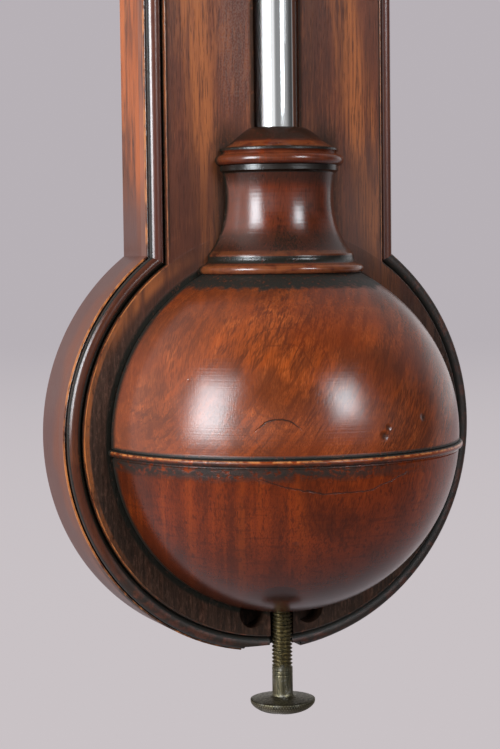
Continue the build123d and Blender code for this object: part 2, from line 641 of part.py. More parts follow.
# ---- glass tube, mercury and cistern ---------------------------------------------------------------------
with BuildPart() as glass_tube:
    with BuildSketch(Plane.XZ.offset(BOARD_T)):
        front_box(0, TUBE_R, TUBE_FOOT_H, TUBE_TOP_H - TUBE_R)
        front_circle(0, TUBE_TOP_H - TUBE_R, TUBE_R)
        front_box(0, TUBE_BORE_R, TUBE_FOOT_H, TUBE_TOP_H - TUBE_R, Mode.SUBTRACT)
        front_circle(0, TUBE_TOP_H - TUBE_R, TUBE_BORE_R, Mode.SUBTRACT)
        front_box(0, TUBE_R, TUBE_FOOT_H, TUBE_TOP_H, Mode.INTERSECT)
    revolve(axis=TURN_AXIS)
save(glass_tube, "glass_tube")

with BuildPart() as mercury_column:
    upright(TUBE_BORE_R, TUBE_FOOT_H, COLUMN_H)
    fillet(mercury_column.edges().group_by(Axis.Z)[-1], MENISCUS_R)
save(mercury_column, "mercury_column")

with BuildPart() as cistern_body:
    upright(CISTERN_R, SPIGOT_TOP_H, CISTERN_TOP_H)
    upright(SPIGOT_R, SPIGOT_FOOT_H, SPIGOT_TOP_H)
    upright(CISTERN_BORE_R, SPIGOT_FOOT_H, CISTERN_TOP_H, Mode.SUBTRACT)
save(cistern_body, "cistern_body")

with BuildPart() as cistern_cap:
    upright(CISTERN_R, CISTERN_TOP_H, CISTERN_TOP_H + CISTERN_CAP_T)
    upright(TUBE_R, CISTERN_TOP_H, CISTERN_TOP_H + CISTERN_CAP_T, Mode.SUBTRACT)
save(cistern_cap, "cistern_cap")

with BuildPart() as cistern_mercury:
    upright(CISTERN_BORE_R, SPIGOT_FOOT_H, LEVEL_H)
    upright(TUBE_R, TUBE_FOOT_H, LEVEL_H, Mode.SUBTRACT)
save(cistern_mercury, "cistern_mercury")

with BuildPart() as bag_mercury:
    upright(SPIGOT_R, BAG_FOOT_H + BAG_T, SPIGOT_FOOT_H)
save(bag_mercury, "bag_mercury")

with BuildPart() as leather_bag:
    upright(SPIGOT_R + BAG_T, BAG_FOOT_H, SPIGOT_TOP_H)
    upright(SPIGOT_R, BAG_FOOT_H + BAG_T, SPIGOT_TOP_H, Mode.SUBTRACT)
save(leather_bag, "leather_bag")

with BuildPart() as bag_binding:
    upright(SPIGOT_R + BAG_T + BINDING_T, SPIGOT_FOOT_H + 2, SPIGOT_FOOT_H + 2 + BINDING_L)
    upright(SPIGOT_R + BAG_T, SPIGOT_FOOT_H + 2, SPIGOT_FOOT_H + 2 + BINDING_L, Mode.SUBTRACT)
save(bag_binding, "bag_binding")


def saddle(radius, thickness, foot_x, h_low, length):
    """A strap bent over the front of a round piece, with a flat foot on the panel at each side."""
    with BuildSketch(Plane.XY.offset(z_of(h_low))) as band:
        with Locations((0, FRONT)):
            Circle(radius + thickness)
        with Locations((0, FRONT + radius + thickness)):
            Rectangle(4 * radius, 2 * (radius + thickness), mode=Mode.SUBTRACT)
        with Locations((0, FRONT - thickness / 2)):
            Rectangle(2 * foot_x, thickness)
        with Locations((0, FRONT)):
            Circle(radius, mode=Mode.SUBTRACT)
    extrude(band.sketch, amount=length)


with BuildPart() as cistern_strap:
    saddle(CISTERN_R, STRAP_T, STRAP_FOOT_X, STRAP_FOOT_H, STRAP_L)
    small_screws(BOARD_T + STRAP_T, STRAP_PLACES, Mode.SUBTRACT)
save(cistern_strap, "cistern_strap")

with BuildPart() as strap_screws:
    small_screws(BOARD_T + STRAP_T, STRAP_PLACES)
save(strap_screws, "strap_screws")

with BuildPart() as tube_clips:
    for clip_h in CLIP_HEIGHTS_H:
        saddle(TUBE_R, CLIP_T, CLIP_FOOT_X, clip_h, CLIP_L)
    small_screws(BOARD_T + CLIP_T, CLIP_PLACES, Mode.SUBTRACT)
save(tube_clips, "tube_clips")

with BuildPart() as clip_screws:
    small_screws(BOARD_T + CLIP_T, CLIP_PLACES)
    slots(Plane.XZ.offset(BOARD_T + CLIP_T), front_places(*CLIP_PLACES), SMALL_SCREW_HEAD_R,
          SLOT_DEPTH)
save(clip_screws, "clip_screws")


# ---- portable screw and its bracket ----------------------------------------------------------------------
with BuildPart() as bag_pad:
    upright(PAD_R, PAD_FOOT_H, BAG_FOOT_H)
    upright(TIP_R + RUN_GAP, PAD_FOOT_H, PAD_FOOT_H + TIP_L + SEAT_GAP, Mode.SUBTRACT)
save(bag_pad, "bag_pad")

THREAD_COUNT = int((PAD_FOOT_H - THREAD_FOOT_H) / THREAD_PITCH)
RIM_FOOT_H = HEAD_TOP_H - HEAD_RIM_T
with BuildPart() as portable_screw:
    with BuildSketch(Plane.XZ.offset(BOARD_T)):
        with BuildLine():
            thread = [at(0, PAD_FOOT_H + TIP_L), at(TIP_R, PAD_FOOT_H + TIP_L), at(TIP_R, PAD_FOOT_H)]
            for turn in range(THREAD_COUNT):
                crest_h = PAD_FOOT_H - turn * THREAD_PITCH
                thread.append(at(THREAD_R, crest_h))
                thread.append(at(THREAD_R - THREAD_DEPTH, crest_h - THREAD_PITCH / 2))
            thread += [at(THREAD_R, PAD_FOOT_H - THREAD_COUNT * THREAD_PITCH),
                       at(THREAD_R, HEAD_TOP_H + 0.6), at(THREAD_R + 0.6, HEAD_TOP_H),
                       at(HEAD_R, HEAD_TOP_H), at(HEAD_R, RIM_FOOT_H)]
            rim = Polyline(*thread)
            crown = ThreePointArc(rim @ 1, at(HEAD_R * 0.6, RIM_FOOT_H - HEAD_CROWN * 0.66),
                                  at(CROWN_FLAT_R, RIM_FOOT_H - HEAD_CROWN))
            Polyline(crown @ 1, at(0, RIM_FOOT_H - HEAD_CROWN), rim @ 0)
        make_face()
    revolve(axis=TURN_AXIS)
save(portable_screw, "portable_screw")

with BuildPart() as screw_bush:
    upright(BUSH_R, BRACKET_FOOT_H, BRACKET_TOP_H + BUSH_STAND)
    upright(BUSH_FLANGE_R, BRACKET_FOOT_H - BUSH_FLANGE_T, BRACKET_FOOT_H)
    upright(SCREW_BORE_R, BRACKET_FOOT_H - BUSH_FLANGE_T, BRACKET_TOP_H + BUSH_STAND, Mode.SUBTRACT)
save(screw_bush, "screw_bush")

with BuildPart() as bush_bracket:
    with BuildSketch(Plane.XY.offset(z_of(BRACKET_FOOT_H))):
        with Locations((0, FRONT)):
            Circle(BRACKET_R)
            Rectangle(2 * BRACKET_HALF_W, 2 * BRACKET_R, mode=Mode.INTERSECT)
            Circle(BUSH_R, mode=Mode.SUBTRACT)
    extrude(amount=BRACKET_T)
    bracket_screw_shapes(Mode.SUBTRACT)
save(bush_bracket, "bush_bracket")

with BuildPart() as bracket_screws:
    bracket_screw_shapes()
save(bracket_screws, "bracket_screws")


# ---- register, thermometer and vernier -------------------------------------------------------------------
for side, label in ((-1, "register_plate_left"), (1, "register_plate_right")):
    x_edges = sorted((side * PLATE_EDGE, side * PLATE_OUT))
    with BuildPart() as register_plate:
        slab(*x_edges, PLATE_FOOT_H, PLATE_TOP_H, BOARD_T, PLATE_FRONT)
        small_screws(PLATE_FRONT, PLATE_PLACES, Mode.SUBTRACT)
        if side > 0:
            stem_slot(BOARD_T, PLATE_FRONT)
    save(register_plate, label)

with BuildPart() as register_screws:
    small_screws(PLATE_FRONT, PLATE_PLACES)
    slots(Plane.XZ.offset(PLATE_FRONT), front_places(*PLATE_PLACES), SMALL_SCREW_HEAD_R, SLOT_DEPTH)
save(register_screws, "register_screws")

THERMOMETER_AXIS = Axis((THERMOMETER_X, -THERMOMETER_OUT, 0), (0, 0, 1))
with BuildPart() as thermometer_tube:
    with BuildSketch(Plane.XZ.offset(THERMOMETER_OUT)):
        front_box(THERMOMETER_X, THERMOMETER_X + THERMOMETER_R, BULB_H, THERMOMETER_TOP_H)
        front_circle(THERMOMETER_X, BULB_H, BULB_R)
        front_box(THERMOMETER_X, THERMOMETER_X + THERMOMETER_BORE_R, BULB_H,
                  THERMOMETER_TOP_H - THERMOMETER_R, Mode.SUBTRACT)
        front_circle(THERMOMETER_X, BULB_H, BULB_BORE_R, Mode.SUBTRACT)
        front_box(THERMOMETER_X, THERMOMETER_X + BULB_R, BULB_H - BULB_R, THERMOMETER_TOP_H,
                  Mode.INTERSECT)
    revolve(axis=THERMOMETER_AXIS)
save(thermometer_tube, "thermometer_tube")

with BuildPart() as thermometer_spirit:
    with BuildSketch(Plane.XZ.offset(THERMOMETER_OUT)):
        front_box(THERMOMETER_X, THERMOMETER_X + THERMOMETER_BORE_R, BULB_H, SPIRIT_H)
        front_circle(THERMOMETER_X, BULB_H, BULB_BORE_R)
        front_box(THERMOMETER_X, THERMOMETER_X + BULB_R, BULB_H - BULB_R, SPIRIT_H, Mode.INTERSECT)
    revolve(axis=THERMOMETER_AXIS)
save(thermometer_spirit, "thermometer_spirit")

with BuildPart() as thermometer_clips:
    for clip_h in THERMOMETER_CLIP_HEIGHTS_H:
        slab(THERMOMETER_X - THERMOMETER_R - 1, THERMOMETER_X + THERMOMETER_R + 1,
             clip_h, clip_h + THERMOMETER_CLIP_L, PLATE_FRONT, THERMOMETER_OUT + THERMOMETER_R + 1)
        with BuildSketch(Plane.XY.offset(z_of(clip_h))) as clip_hole:
            with Locations((THERMOMETER_X, -THERMOMETER_OUT)):
                Circle(THERMOMETER_R)
        extrude(clip_hole.sketch, amount=THERMOMETER_CLIP_L, mode=Mode.SUBTRACT)
save(thermometer_clips, "thermometer_clips")

with BuildPart() as vernier_plate:
    slab(PLATE_EDGE, PLATE_EDGE + VERNIER_W, COLUMN_H + INDEX_L - VERNIER_L, COLUMN_H + INDEX_L,
         VERNIER_BACK, VERNIER_BACK + VERNIER_T)
save(vernier_plate, "vernier_plate")

INDEX_R = TUBE_R + 0.5
INDEX_TAB_L = 9.0
with BuildPart() as vernier_index:
    with BuildSketch(Plane.XY.offset(z_of(COLUMN_H))):
        with Locations((0, FRONT)):
            Circle(INDEX_R + INDEX_T)
        with Locations((0, -VERNIER_BACK + INDEX_R)):
            Rectangle(4 * INDEX_R, 2 * INDEX_R, mode=Mode.SUBTRACT)
        with Locations((PLATE_EDGE + 2, -VERNIER_BACK - VERNIER_T - INDEX_T / 2)):
            Rectangle(INDEX_TAB_L, INDEX_T)
        with Locations((0, FRONT)):
            Circle(INDEX_R, mode=Mode.SUBTRACT)
    extrude(amount=INDEX_L)
save(vernier_index, "vernier_index")


def tooth(half_root, half_tip):
    """Corners of one tooth about its centre line, from its root to its tip, pointing along +X."""
    root = -TOOTH_DED - TOOTH_SEAT
    return [(root, -half_root), (TOOTH_ADD, -half_tip), (TOOTH_ADD, half_tip), (root, half_root)]


TOOTH_SLOPE = tan(radians(20))
RACK_TOOTH = tooth(TOOTH_HALF + TOOTH_DED * TOOTH_SLOPE, TOOTH_HALF - TOOTH_ADD * TOOTH_SLOPE)
PINION_TOOTH = tooth(TOOTH_HALF + 0.2, TOOTH_HALF - 0.25)
TEETH_BELOW = int((PINION_H - RACK_FOOT_H - 1) / TOOTH_PITCH)
TEETH_ABOVE = int((RACK_TOP_H - PINION_H - 1) / TOOTH_PITCH)
with BuildPart() as vernier_rack:
    slab(RACK_X - RACK_W / 2, RACK_X + RACK_W / 2, RACK_FOOT_H, RACK_TOP_H, RACK_BACK, RACK_FRONT)
    slab(RACK_X - STEM_W / 2, RACK_X + STEM_W / 2, STEM_H - STEM_L / 2, STEM_H + STEM_L / 2,
         RACK_FRONT, VERNIER_BACK)
    with BuildSketch(Plane.XZ.offset(RACK_BACK)):
        for number in range(-TEETH_BELOW, TEETH_ABOVE + 1):
            with Locations((PITCH_X, z_of(PINION_H + number * TOOTH_PITCH))):
                Polygon(*RACK_TOOTH, align=None)
    extrude(amount=RACK_T)
save(vernier_rack, "vernier_rack")

BUSH_FACE = BOARD_T + ARBOR_FLANGE_T
KNOB_BACK = BUSH_FACE + SEAT_GAP
with BuildPart() as vernier_pinion:
    with BuildSketch(Plane.XZ.offset(RACK_BACK)):
        front_circle(PINION_X, PINION_H, PITCH_R - TOOTH_DED)
        with Locations((PINION_X, z_of(PINION_H))):
            with PolarLocations(PITCH_R, PINION_TEETH, start_angle=180 / PINION_TEETH):
                Polygon(*PINION_TOOTH, align=None)
    extrude(amount=RACK_T)
    disc(PINION_X, PINION_H, ARBOR_R, RACK_BACK, KNOB_BACK + KNOB_T - 2)
save(vernier_pinion, "vernier_pinion")

with BuildPart() as vernier_knob:
    disc(PINION_X, PINION_H, KNOB_R, KNOB_BACK, KNOB_BACK + KNOB_T)
    chamfer(vernier_knob.edges().group_by(Axis.Y)[0], 1)
    disc(PINION_X, PINION_H, ARBOR_R, KNOB_BACK, KNOB_BACK + KNOB_T - 2, Mode.SUBTRACT)
save(vernier_knob, "vernier_knob")

with BuildPart() as arbor_bush:
    disc(PINION_X, PINION_H, ARBOR_FLANGE_R, BOARD_T, BUSH_FACE)
    disc(PINION_X, PINION_H, ARBOR_BUSH_R, CHANNEL_DEPTH, BOARD_T)
    disc(PINION_X, PINION_H, ARBOR_R + RUN_GAP, CHANNEL_DEPTH, BUSH_FACE, Mode.SUBTRACT)
save(arbor_bush, "arbor_bush")

with BuildPart() as rack_cover:
    slab(RACK_COVER_LEFT, RACK_COVER_RIGHT, RACK_COVER_FOOT_H, RACK_COVER_TOP_H, 0, RACK_COVER_T)
    screws(WALL_PLANE, back_places(*RACK_COVER_PLACES), SMALL_SCREW_R, SMALL_SCREW_HEAD_R,
           SMALL_SCREW_L, Mode.SUBTRACT)
save(rack_cover, "rack_cover")

with BuildPart() as rack_cover_screws:
    screws(WALL_PLANE, back_places(*RACK_COVER_PLACES), SMALL_SCREW_R, SMALL_SCREW_HEAD_R,
           SMALL_SCREW_L)
    slots(WALL_PLANE, back_places(*RACK_COVER_PLACES), SMALL_SCREW_HEAD_R, SLOT_DEPTH)
save(rack_cover_screws, "rack_cover_screws")


# ---- glazed head -----------------------------------------------------------------------------------------
for side, label in ((-1, "head_stile_left"), (1, "head_stile_right")):
    x_edges = sorted((side * OPENING_HALF, side * HEAD_W / 2))
    with BuildPart() as head_stile:
        slab(*x_edges, HEAD_FOOT_H, HEAD_TOP_CASE_H, BOARD_T, BOARD_T + HEAD_DEPTH)
    save(head_stile, label)

with BuildPart() as head_rail_bottom:
    slab(-OPENING_HALF, OPENING_HALF, HEAD_FOOT_H, OPENING_FOOT_H, BOARD_T, BOARD_T + HEAD_DEPTH)
    upright(GROOVE_R, HEAD_FOOT_H, OPENING_FOOT_H, Mode.SUBTRACT)
save(head_rail_bottom, "head_rail_bottom")

with BuildPart() as head_rail_top:
    slab(-OPENING_HALF, OPENING_HALF, OPENING_TOP_H, HEAD_TOP_CASE_H, BOARD_T, BOARD_T + HEAD_DEPTH)
save(head_rail_top, "head_rail_top")


def ledge(out, height):
    """Outline of the cornice at a height, standing out from the head at the front and sides."""
    depth = DOOR_FRONT + out - HANG_PLATE_T
    with BuildSketch(Plane.XY.offset(z_of(height))) as outline:
        with Locations((0, -HANG_PLATE_T - depth / 2)):
            Rectangle(HEAD_W + 2 * out, depth)
    return outline.sketch


CORNICE_BED = 3.0       # plain lower member of the cornice
CORNICE_LIP = 4.0       # plain upper member
with BuildPart() as cornice:
    extrude(ledge(1.5, HEAD_TOP_CASE_H), amount=CORNICE_BED)
    loft([ledge(1.5, HEAD_TOP_CASE_H + CORNICE_BED),
          ledge(CORNICE_OUT - 1, HEAD_TOP_CASE_H + CORNICE_T - CORNICE_LIP)])
    extrude(ledge(CORNICE_OUT, HEAD_TOP_CASE_H + CORNICE_T - CORNICE_LIP), amount=CORNICE_LIP)
save(cornice, "cornice")

CORNICE_TOP_H = HEAD_TOP_CASE_H + CORNICE_T
PEDIMENT_TOP_H = CORNICE_TOP_H + PEDIMENT_RISE
PEDIMENT_BACK = 4.0
PEDIMENT_FRONT = 32.0
with BuildPart() as pediment:
    with BuildSketch(Plane.XZ.offset(PEDIMENT_BACK)):
        with BuildLine():
            Polyline((-HEAD_W / 2, z_of(CORNICE_TOP_H)), (HEAD_W / 2, z_of(CORNICE_TOP_H)),
                     (HEAD_W / 2, z_of(CORNICE_TOP_H + 3)), (8, z_of(PEDIMENT_TOP_H)),
                     (-8, z_of(PEDIMENT_TOP_H)), (-HEAD_W / 2, z_of(CORNICE_TOP_H + 3)), close=True)
        make_face()
    extrude(amount=PEDIMENT_FRONT - PEDIMENT_BACK)
save(pediment, "pediment")

FINIAL_OUT = (PEDIMENT_BACK + PEDIMENT_FRONT) / 2
FINIAL_NECK_R = 0.37 * FINIAL_R
FOOT_TOP_H = PEDIMENT_TOP_H + FINIAL_L / 12
BALL_TOP_H = PEDIMENT_TOP_H + 0.58 * FINIAL_L
with BuildPart() as finial:
    with BuildSketch(Plane.XZ.offset(FINIAL_OUT)):
        with BuildLine():
            base = Polyline(at(0, PEDIMENT_TOP_H), at(FINIAL_R, PEDIMENT_TOP_H),
                            at(FINIAL_R, FOOT_TOP_H), at(FINIAL_NECK_R, 2 * FOOT_TOP_H - PEDIMENT_TOP_H))
            ball = ThreePointArc(base @ 1, at(0.9 * FINIAL_R, (FOOT_TOP_H + BALL_TOP_H) / 2 + 1),
                                 at(FINIAL_NECK_R, BALL_TOP_H))
            spike = Polyline(ball @ 1, at(0.2 * FINIAL_R, BALL_TOP_H + 0.17 * FINIAL_L),
                             at(0.27 * FINIAL_R, BALL_TOP_H + 0.25 * FINIAL_L),
                             at(0, PEDIMENT_TOP_H + FINIAL_L))
            Line(spike @ 1, base @ 0)
        make_face()
    revolve(axis=Axis((0, -FINIAL_OUT, 0), (0, 0, 1)))
save(finial, "finial")

with BuildPart() as hanging_plate:
    with BuildSketch(Plane.XZ):
        front_box(-HANG_PLATE_W / 2, HANG_PLATE_W / 2, HANG_PLATE_FOOT_H, CORNICE_TOP_H)
        front_box(-HANG_EYE_R, HANG_EYE_R, CORNICE_TOP_H, HANG_H)
        front_circle(0, HANG_H, HANG_EYE_R)
        front_circle(0, HANG_H, HANG_HOLE_R, Mode.SUBTRACT)
    extrude(amount=HANG_PLATE_T)
    screws(WALL_PLANE, back_places(*HANG_PLACES), WOOD_SCREW_R, WOOD_SCREW_HEAD_R, HANG_SCREW_L,
           Mode.SUBTRACT)
save(hanging_plate, "hanging_plate")

with BuildPart() as hanging_plate_screws:
    screws(WALL_PLANE, back_places(*HANG_PLACES), WOOD_SCREW_R, WOOD_SCREW_HEAD_R, HANG_SCREW_L)
    slots(WALL_PLANE, back_places(*HANG_PLACES), WOOD_SCREW_HEAD_R, SLOT_DEPTH)
save(hanging_plate_screws, "hanging_plate_screws")


# ---- door ------------------------------------------------------------------------------------------------
GLASS_BACK = DOOR_BACK + BEAD_T
GLASS_FRONT = GLASS_BACK + GLASS_T
with BuildPart() as door_frame:
    slab(-HEAD_W / 2, HEAD_W / 2, HEAD_FOOT_H, DOOR_TOP_H, DOOR_BACK, DOOR_FRONT)
    slab(-GLASS_HALF + DOOR_LIP, GLASS_HALF - DOOR_LIP, GLASS_FOOT_H + DOOR_LIP,
         GLASS_TOP_H - DOOR_LIP, DOOR_BACK, DOOR_FRONT, Mode.SUBTRACT)
    slab(-GLASS_HALF, GLASS_HALF, GLASS_FOOT_H, GLASS_TOP_H, DOOR_BACK, GLASS_FRONT, Mode.SUBTRACT)
    disc(DOOR_KNOB_X, DOOR_KNOB_H, DOOR_KNOB_STEM_R, DOOR_FRONT - DOOR_KNOB_SINK, DOOR_FRONT,
         Mode.SUBTRACT)
save(door_frame, "door_frame")

with BuildPart() as door_glass:
    slab(-GLASS_HALF, GLASS_HALF, GLASS_FOOT_H, GLASS_TOP_H, GLASS_BACK, GLASS_FRONT)
save(door_glass, "door_glass")

with BuildPart() as glazing_beads:
    for x_low, x_high in ((-GLASS_HALF, -GLASS_HALF + BEAD_T), (GLASS_HALF - BEAD_T, GLASS_HALF)):
        slab(x_low, x_high, GLASS_FOOT_H, GLASS_TOP_H, DOOR_BACK, GLASS_BACK)
    for h_low, h_high in ((GLASS_FOOT_H, GLASS_FOOT_H + BEAD_T), (GLASS_TOP_H - BEAD_T, GLASS_TOP_H)):
        slab(-GLASS_HALF, GLASS_HALF, h_low, h_high, DOOR_BACK, GLASS_BACK)
save(glazing_beads, "glazing_beads")

with BuildPart() as door_knob:
    with BuildSketch(Plane.XY.offset(z_of(DOOR_KNOB_H))):
        with Locations((DOOR_KNOB_X, DOOR_KNOB_R - DOOR_FRONT - DOOR_KNOB_L)):
            Circle(DOOR_KNOB_R)
        with Locations((DOOR_KNOB_X, (DOOR_KNOB_SINK - DOOR_KNOB_NECK) / 2 - DOOR_FRONT)):
            Rectangle(2 * DOOR_KNOB_STEM_R, DOOR_KNOB_SINK + DOOR_KNOB_NECK)
        with Locations((DOOR_KNOB_X, -DOOR_FRONT - DOOR_KNOB_ROSE_T / 2)):
            Rectangle(2 * DOOR_KNOB_ROSE_R, DOOR_KNOB_ROSE_T)
        with Locations((DOOR_KNOB_X - DOOR_KNOB_L, -DOOR_FRONT)):
            Rectangle(2 * DOOR_KNOB_L, 4 * DOOR_KNOB_L, mode=Mode.SUBTRACT)
    revolve(axis=Axis((DOOR_KNOB_X, 0, z_of(DOOR_KNOB_H)), (0, 1, 0)))
save(door_knob, "door_knob")


def hinge_rounds(radius, starts, length, mode=Mode.ADD):
    """Upright rounds on the hinge line, each from a start height."""
    for start in starts:
        with BuildSketch(Plane.XY.offset(z_of(start))) as face:
            with Locations((HINGE_X, HINGE_Y)):
                Circle(radius)
        extrude(face.sketch, amount=length, mode=mode)


KNUCKLE_L = HINGE_L / 3
KNUCKLE_GAP = 0.1
LEAF_CLEAR = 2.2        # a leaf stays this far from the hinge line beside the other leaf's knuckle
CASE_LEAF_REACH = 10.0
CASE_KNUCKLES = [h + k * KNUCKLE_L for h in HINGE_HEIGHTS_H for k in (0, 2)]
DOOR_KNUCKLES = [h + KNUCKLE_L + KNUCKLE_GAP for h in HINGE_HEIGHTS_H]
DOOR_KNUCKLE_L = KNUCKLE_L - 2 * KNUCKLE_GAP
LEAF_OUT = HEAD_W / 2 + HINGE_LEAF_T
HINGE_OUT = -HINGE_Y

with BuildPart() as hinge_leaves_case:
    hinge_rounds(HINGE_R, CASE_KNUCKLES, KNUCKLE_L)
    for start in CASE_KNUCKLES:
        slab(HEAD_W / 2, HINGE_X, start, start + KNUCKLE_L, HINGE_OUT - LEAF_CLEAR - 0.5, HINGE_OUT - 0.3)
    for start in HINGE_HEIGHTS_H:
        slab(HEAD_W / 2, LEAF_OUT, start, start + HINGE_L, HINGE_OUT - CASE_LEAF_REACH,
             HINGE_OUT - LEAF_CLEAR)
    hinge_rounds(HINGE_PIN_R, HINGE_HEIGHTS_H, HINGE_L, Mode.SUBTRACT)
save(hinge_leaves_case, "hinge_leaves_case")

with BuildPart() as hinge_leaves_door:
    hinge_rounds(HINGE_R, DOOR_KNUCKLES, DOOR_KNUCKLE_L)
    for start in DOOR_KNUCKLES:
        slab(HEAD_W / 2, HINGE_X, start, start + DOOR_KNUCKLE_L, HINGE_OUT + 0.3,
             HINGE_OUT + LEAF_CLEAR + 0.5)
    for start in HINGE_HEIGHTS_H:
        slab(HEAD_W / 2, LEAF_OUT, start, start + HINGE_L, HINGE_OUT + LEAF_CLEAR, DOOR_FRONT)
    hinge_rounds(HINGE_PIN_R + RUN_GAP, HINGE_HEIGHTS_H, HINGE_L, Mode.SUBTRACT)
save(hinge_leaves_door, "hinge_leaves_door")

with BuildPart() as hinge_pins:
    hinge_rounds(HINGE_PIN_R, HINGE_HEIGHTS_H, HINGE_L)
save(hinge_pins, "hinge_pins")
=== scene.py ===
"""Looks of the wall barometer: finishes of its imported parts, the pieces modelled over them, a studio.

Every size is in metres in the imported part's frame, unless it is said to be in millimetres.
"""

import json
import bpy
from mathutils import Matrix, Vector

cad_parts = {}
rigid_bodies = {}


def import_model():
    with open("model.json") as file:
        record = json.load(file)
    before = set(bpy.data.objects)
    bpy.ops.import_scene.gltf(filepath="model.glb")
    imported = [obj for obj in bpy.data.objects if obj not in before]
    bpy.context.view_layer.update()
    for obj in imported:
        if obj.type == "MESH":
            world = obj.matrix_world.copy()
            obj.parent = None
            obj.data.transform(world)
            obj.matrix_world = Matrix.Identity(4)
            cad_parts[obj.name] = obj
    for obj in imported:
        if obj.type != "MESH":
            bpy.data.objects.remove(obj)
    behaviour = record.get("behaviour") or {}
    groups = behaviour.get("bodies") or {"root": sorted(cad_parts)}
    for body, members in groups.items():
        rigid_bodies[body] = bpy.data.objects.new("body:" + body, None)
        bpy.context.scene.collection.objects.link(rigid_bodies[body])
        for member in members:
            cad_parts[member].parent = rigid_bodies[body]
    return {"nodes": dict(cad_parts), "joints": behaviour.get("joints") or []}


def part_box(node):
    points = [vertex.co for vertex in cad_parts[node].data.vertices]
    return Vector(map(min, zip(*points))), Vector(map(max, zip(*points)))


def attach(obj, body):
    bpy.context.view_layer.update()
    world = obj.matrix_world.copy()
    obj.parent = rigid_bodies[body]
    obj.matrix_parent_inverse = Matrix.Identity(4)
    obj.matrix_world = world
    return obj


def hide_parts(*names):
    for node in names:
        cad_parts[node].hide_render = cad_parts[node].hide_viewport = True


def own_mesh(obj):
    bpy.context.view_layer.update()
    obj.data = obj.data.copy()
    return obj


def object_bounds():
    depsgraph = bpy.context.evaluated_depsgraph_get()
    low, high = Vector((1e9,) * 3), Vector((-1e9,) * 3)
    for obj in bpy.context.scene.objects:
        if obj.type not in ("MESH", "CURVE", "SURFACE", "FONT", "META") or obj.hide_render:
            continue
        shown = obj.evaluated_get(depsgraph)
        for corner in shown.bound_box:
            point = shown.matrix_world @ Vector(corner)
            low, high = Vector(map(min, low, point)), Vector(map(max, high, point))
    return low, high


bl_info = {
    "name": "Stick Barometer",
    "version": (1, 0, 0),
    "blender": (4, 5, 0),
    "location": "View3D > Sidebar > Barometer",
    "description": "Finishes a wall-hung stick barometer and sets it in a plain studio",
    "category": "Object",
}

from functools import reduce
from math import cos, degrees, pi, radians, sin
from operator import mul, or_

import bmesh
import bpy
from bpy.props import FloatProperty, FloatVectorProperty, IntProperty, PointerProperty
from mathutils import Matrix, Vector

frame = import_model()
NODES = frame["nodes"]
CAD_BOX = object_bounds()

MM = 0.001
INCH = 25.4 * MM
COVER_JOINT_DROP = 1.8 * MM                  # from the centre of the round base to the cover's joint
BASE_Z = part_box("cistern_cover_upper")[0].z + COVER_JOINT_DROP
FRONT_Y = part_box("register_plate_left")[1].y                      # front face of the back board
COVER_R_MM = (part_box("cistern_cover_upper")[1].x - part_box("cistern_cover_upper")[0].x) / 2 / MM
TRUNK_HALF_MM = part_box("trunk_moulding_right")[1].x / MM
MOULD_W_MM = (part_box("trunk_moulding_right")[1].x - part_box("trunk_moulding_right")[0].x) / MM
BASE_R_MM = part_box("base_moulding_right")[1].x / MM
TRUNK_FOOT_MM = (44.0, 52.0)                 # heights between which the trunk meets the round base
RIM_TOP_MM = 50.5                                                 # upper ends of the round rim
STREAK_LEVEL_MM = 92.0                       # height at which the middle of a streak is given
TINY = 1e-6
LAMP_TINT = (0.93, 1.0, 1.06)


def height_mm(z):
    """Height above the centre of the round base, in millimetres."""
    return (z - BASE_Z) / MM


COLLAR_FOOT_MM = height_mm(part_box("cover_collar")[0].z)


# ---- what a user may change ------------------------------------------------------------------
def tone(name, description, default):
    """A colour setting."""
    return FloatVectorProperty(name=name, description=description, default=default, subtype="COLOR",
                               size=3, min=0.0, max=1.0)


def metres(name, description, default):
    """A setting in metres."""
    return FloatProperty(name=name, description=description, default=default, unit="LENGTH")


def tilt(name, description, default):
    """An angle setting, given in degrees."""
    return FloatProperty(name=name, description=description, default=radians(default),
                         subtype="ANGLE")


def watts(name, description, default):
    """A lamp setting in watts."""
    return FloatProperty(name=name, description=description, default=default, unit="POWER")


